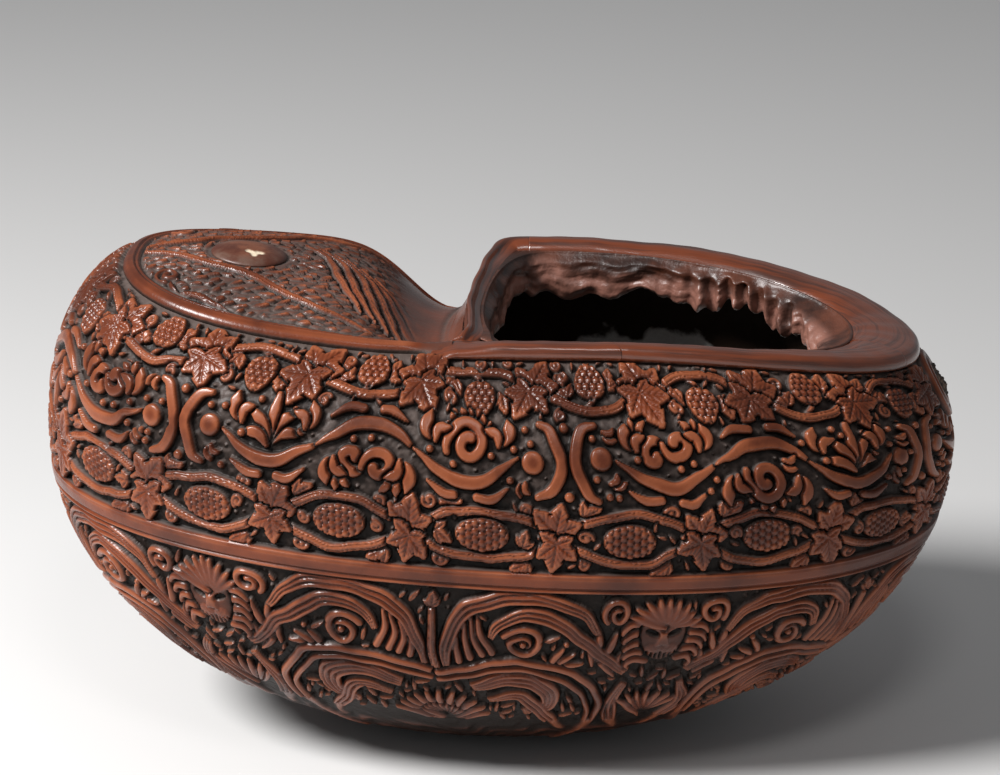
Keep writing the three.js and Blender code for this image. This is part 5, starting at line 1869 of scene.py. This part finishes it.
def rim_wood():
    f = Finish("rim_wood")
    along = f.node("CombineXYZ", sockets={0: f.stored("run") * 0.022, 1: f.stored("turn") * 0.5})
    grain = f.noise(1.0, 5.0, 0.6, along)
    streak = f.step(grain, 0.34, 0.56)
    stain = f.noise(26.0, 4.0)
    colour = f.blend(streak, RIM_DARK, RIM_RED)
    colour = f.blend(f.step(stain, 0.5, 0.75) * 0.45, colour, RIM_DARK)
    pores = f.noise(900.0, 2.0)
    roughness = 0.22 + 0.16 * stain + 0.12 * (1 - streak)
    height = grain + 0.25 * pores
    return f.surface(colour, roughness, f.bump(height, 0.22), coat=0.8, coat_roughness=0.13)


rim_finish = rim_wood()
print("finish", rim_finish.name)

# %% [markdown]
# ### Husk, scab and boss
# The lining is like old leather, dark over its fold and upper part, which is painted shade under the rim, and
# shiny on its lumps, with a paler hem. The scab on the tip is dry and grey, and darker in its pits as painted
# shade with dirt. The boss is the nut's own wood, rubbed brown in the middle and grey towards its edge.

# %% Husk, scab and boss finishes
# The leather's own dark colours, made darker still as painted shade under the rim.
LEATHER_DARK_SHADED = (0.022, 0.008, 0.005, 1)
LEATHER_RED_SHADED = (0.10, 0.03, 0.015, 1)
HEM_PALE = (0.25, 0.11, 0.08, 1)
HEM_FROM = (6, 11)
SCAB_DARK = (0.035, 0.024, 0.018, 1)
SCAB_PALE = (0.17, 0.115, 0.085, 1)
BOSS_MIDDLE = (*(BOSS_CENTRE * MM), boss_high[2] * MM)
BOSS_BROWN = (0.17, 0.055, 0.026, 1)
BOSS_GREY = (0.115, 0.062, 0.044, 1)
CHIP_PALE = (0.72, 0.6, 0.44, 1)


def leathery_husk():
    f = Finish("leathery_husk")
    patch = f.noise(55.0, 6.0, 0.6)
    wrinkle = f.noise(320.0, 4.0, 0.6)
    # Painted shade: the leather above the paler hem is kept dark for the shade under the rim.
    leather = f.blend(f.step(patch, 0.38, 0.66), LEATHER_DARK_SHADED, LEATHER_RED_SHADED)
    colour = f.blend(f.step(f.stored("turn"), *HEM_FROM) * f.step(patch, 0.3, 0.55), leather, HEM_PALE)
    roughness = 0.26 + 0.3 * wrinkle
    return f.surface(colour, roughness, f.bump(wrinkle + 0.6 * patch, 0.5), coat=0.2, coat_roughness=0.3)


def dry_scab():
    f = Finish("dry_scab")
    crumb = f.noise(520.0, 5.0, 0.65)
    colour = f.blend(f.step(crumb, 0.4, 0.65), SCAB_DARK, SCAB_PALE)
    # Painted shade with dirt: the scab is darker in its pits.
    colour = f.darken(colour, f.stored("pit") * 0.9)
    return f.surface(colour, 0.55 + 0.3 * crumb, f.bump(crumb, 0.4))


def worn_boss():
    f = Finish("worn_boss")
    mottle = f.noise(90.0, 6.0, 0.65)
    out = f.distance(f.place(), BOSS_MIDDLE)
    worn = f.blend(f.step(out + 0.004 * (mottle - 0.5), 0.005, 0.011), BOSS_BROWN, BOSS_GREY)
    colour = f.blend(f.step(mottle, 0.36, 0.6), NUT_BROWN, worn)
    colour = f.blend(f.stored("chip"), colour, CHIP_PALE)
    return f.surface(colour, 0.34 + 0.22 * mottle, f.bump(f.noise(600.0, 3.0), 0.12), coat=0.15)


husk_finish, scab_finish, boss_finish = leathery_husk(), dry_scab(), worn_boss()
print("finishes", husk_finish.name, scab_finish.name, boss_finish.name)

# %% [markdown]
# ## Putting it together
# Each piece rides on the one body of the bowl. It says which solid it stands for and which slot its finish is
# in. One table lists them all, so that no piece can be forgotten.

# %% Pieces on the frame
ASSEMBLY = [(piece, "shell", "carved_nut", nut_finish) for piece in flank_blocks + [keel_block, panel_block]]
ASSEMBLY += [
    (near_left, "near_rim_left", "rim_wood", rim_finish),
    (near_right, "near_rim_right", "rim_wood", rim_finish),
    (far_strip, "far_rim", "rim_wood", rim_finish),
    (lip, "throat_lip", "rim_wood", rim_finish),
    (husk, "mouth_lining", "husk", husk_finish),
    (boss, "lobe_boss", "carved_nut", boss_finish),
    (plug, "tip_plug", "scar", scab_finish),
]
for piece, node, slot, finish in ASSEMBLY:
    piece.data.materials.clear()
    piece.data.materials.append(finish)
    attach(piece, "root")
    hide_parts(node)
triangles = sum(len(face.vertices) - 2 for piece, *_ in ASSEMBLY for face in piece.data.polygons)
print("pieces:", len(ASSEMBLY), "triangles:", triangles)

# %% [markdown]
# ## Camera, floor and light
# The camera stands where the photographer stood: a little to the right, looking down at the bowl from about a
# metre away. A big soft lamp from the upper left rakes over the carving, and a weak one fills in from high up
# in front. The floor is plain and pale.

# %% Camera
CAMERA_TURN = math.radians(2.5)
CAMERA_RISE = math.radians(20)
CAMERA_DISTANCE = 1.1
IMAGE_WIDTH = 1000
FOCAL_PIXELS = 3553
PIXELS_UP = 42.5
AIM_UP = math.atan2(PIXELS_UP, FOCAL_PIXELS)


def make_camera():
    camera = bpy.data.objects.new("camera", bpy.data.cameras.new("camera"))
    bpy.context.scene.collection.objects.link(camera)
    camera.data.lens = FOCAL_PIXELS / IMAGE_WIDTH * camera.data.sensor_width
    right = Vector((math.cos(CAMERA_TURN), math.sin(CAMERA_TURN), 0))
    level_back = Vector((right.y, -right.x, 0))
    back = level_back * math.cos(CAMERA_RISE) + Vector((0, 0, math.sin(CAMERA_RISE)))
    up = back.cross(right)
    ahead = up * math.sin(AIM_UP) - back * math.cos(AIM_UP)
    up = up * math.cos(AIM_UP) + back * math.sin(AIM_UP)
    facing = Matrix((right, up, -ahead)).transposed().to_4x4()
    middle = Vector((0, 0, WIDEST_LEVEL * MM))
    camera.matrix_world = Matrix.Translation(middle + back * CAMERA_DISTANCE) @ facing
    bpy.context.scene.camera = camera
    return camera


camera = make_camera()
print("lens %.1f mm" % camera.data.lens)

# %% Floor and lamps
FLOOR_SIZE = 12.0
FLOOR_GREY = (0.7, 0.69, 0.68, 1)
SKY_TINT = (0.75, 0.77, 0.8, 1)
SKY_STRENGTH = 0.22
LAMPS = (("key", (-0.8, -0.5, 0.95), (0, 0, 0.08), 0.4, 27),
         ("fill", (0.1, -0.8, 1.15), (0.02, 0, 0.08), 0.3, 1.7))


def pale_floor():
    bpy.ops.object.select_all(action="DESELECT")
    bpy.ops.mesh.primitive_plane_add(size=FLOOR_SIZE)
    floor = bpy.context.active_object
    floor.name = "floor"
    floor.data.materials.append(Finish("pale_floor").surface(FLOOR_GREY, 0.75, specular=0.2))


def lamp(name, place, aim, size, watts):
    light = bpy.data.objects.new(name, bpy.data.lights.new(name, "AREA"))
    light.data.shape = "DISK"
    light.data.size = size
    light.data.energy = watts
    light.location = place
    light.rotation_euler = (Vector(aim) - light.location).to_track_quat("-Z", "Y").to_euler()
    bpy.context.scene.collection.objects.link(light)


def studio():
    world = bpy.data.worlds.new("studio")
    bpy.context.scene.world = world
    world.use_nodes = True
    sky = world.node_tree.nodes["Background"]
    sky.inputs["Color"].default_value = SKY_TINT
    sky.inputs["Strength"].default_value = SKY_STRENGTH
    for row in LAMPS:
        lamp(*row)
    bpy.context.scene.view_settings.view_transform = "Standard"


pale_floor()
studio()
print("floor and %d lamps are set" % len(LAMPS))
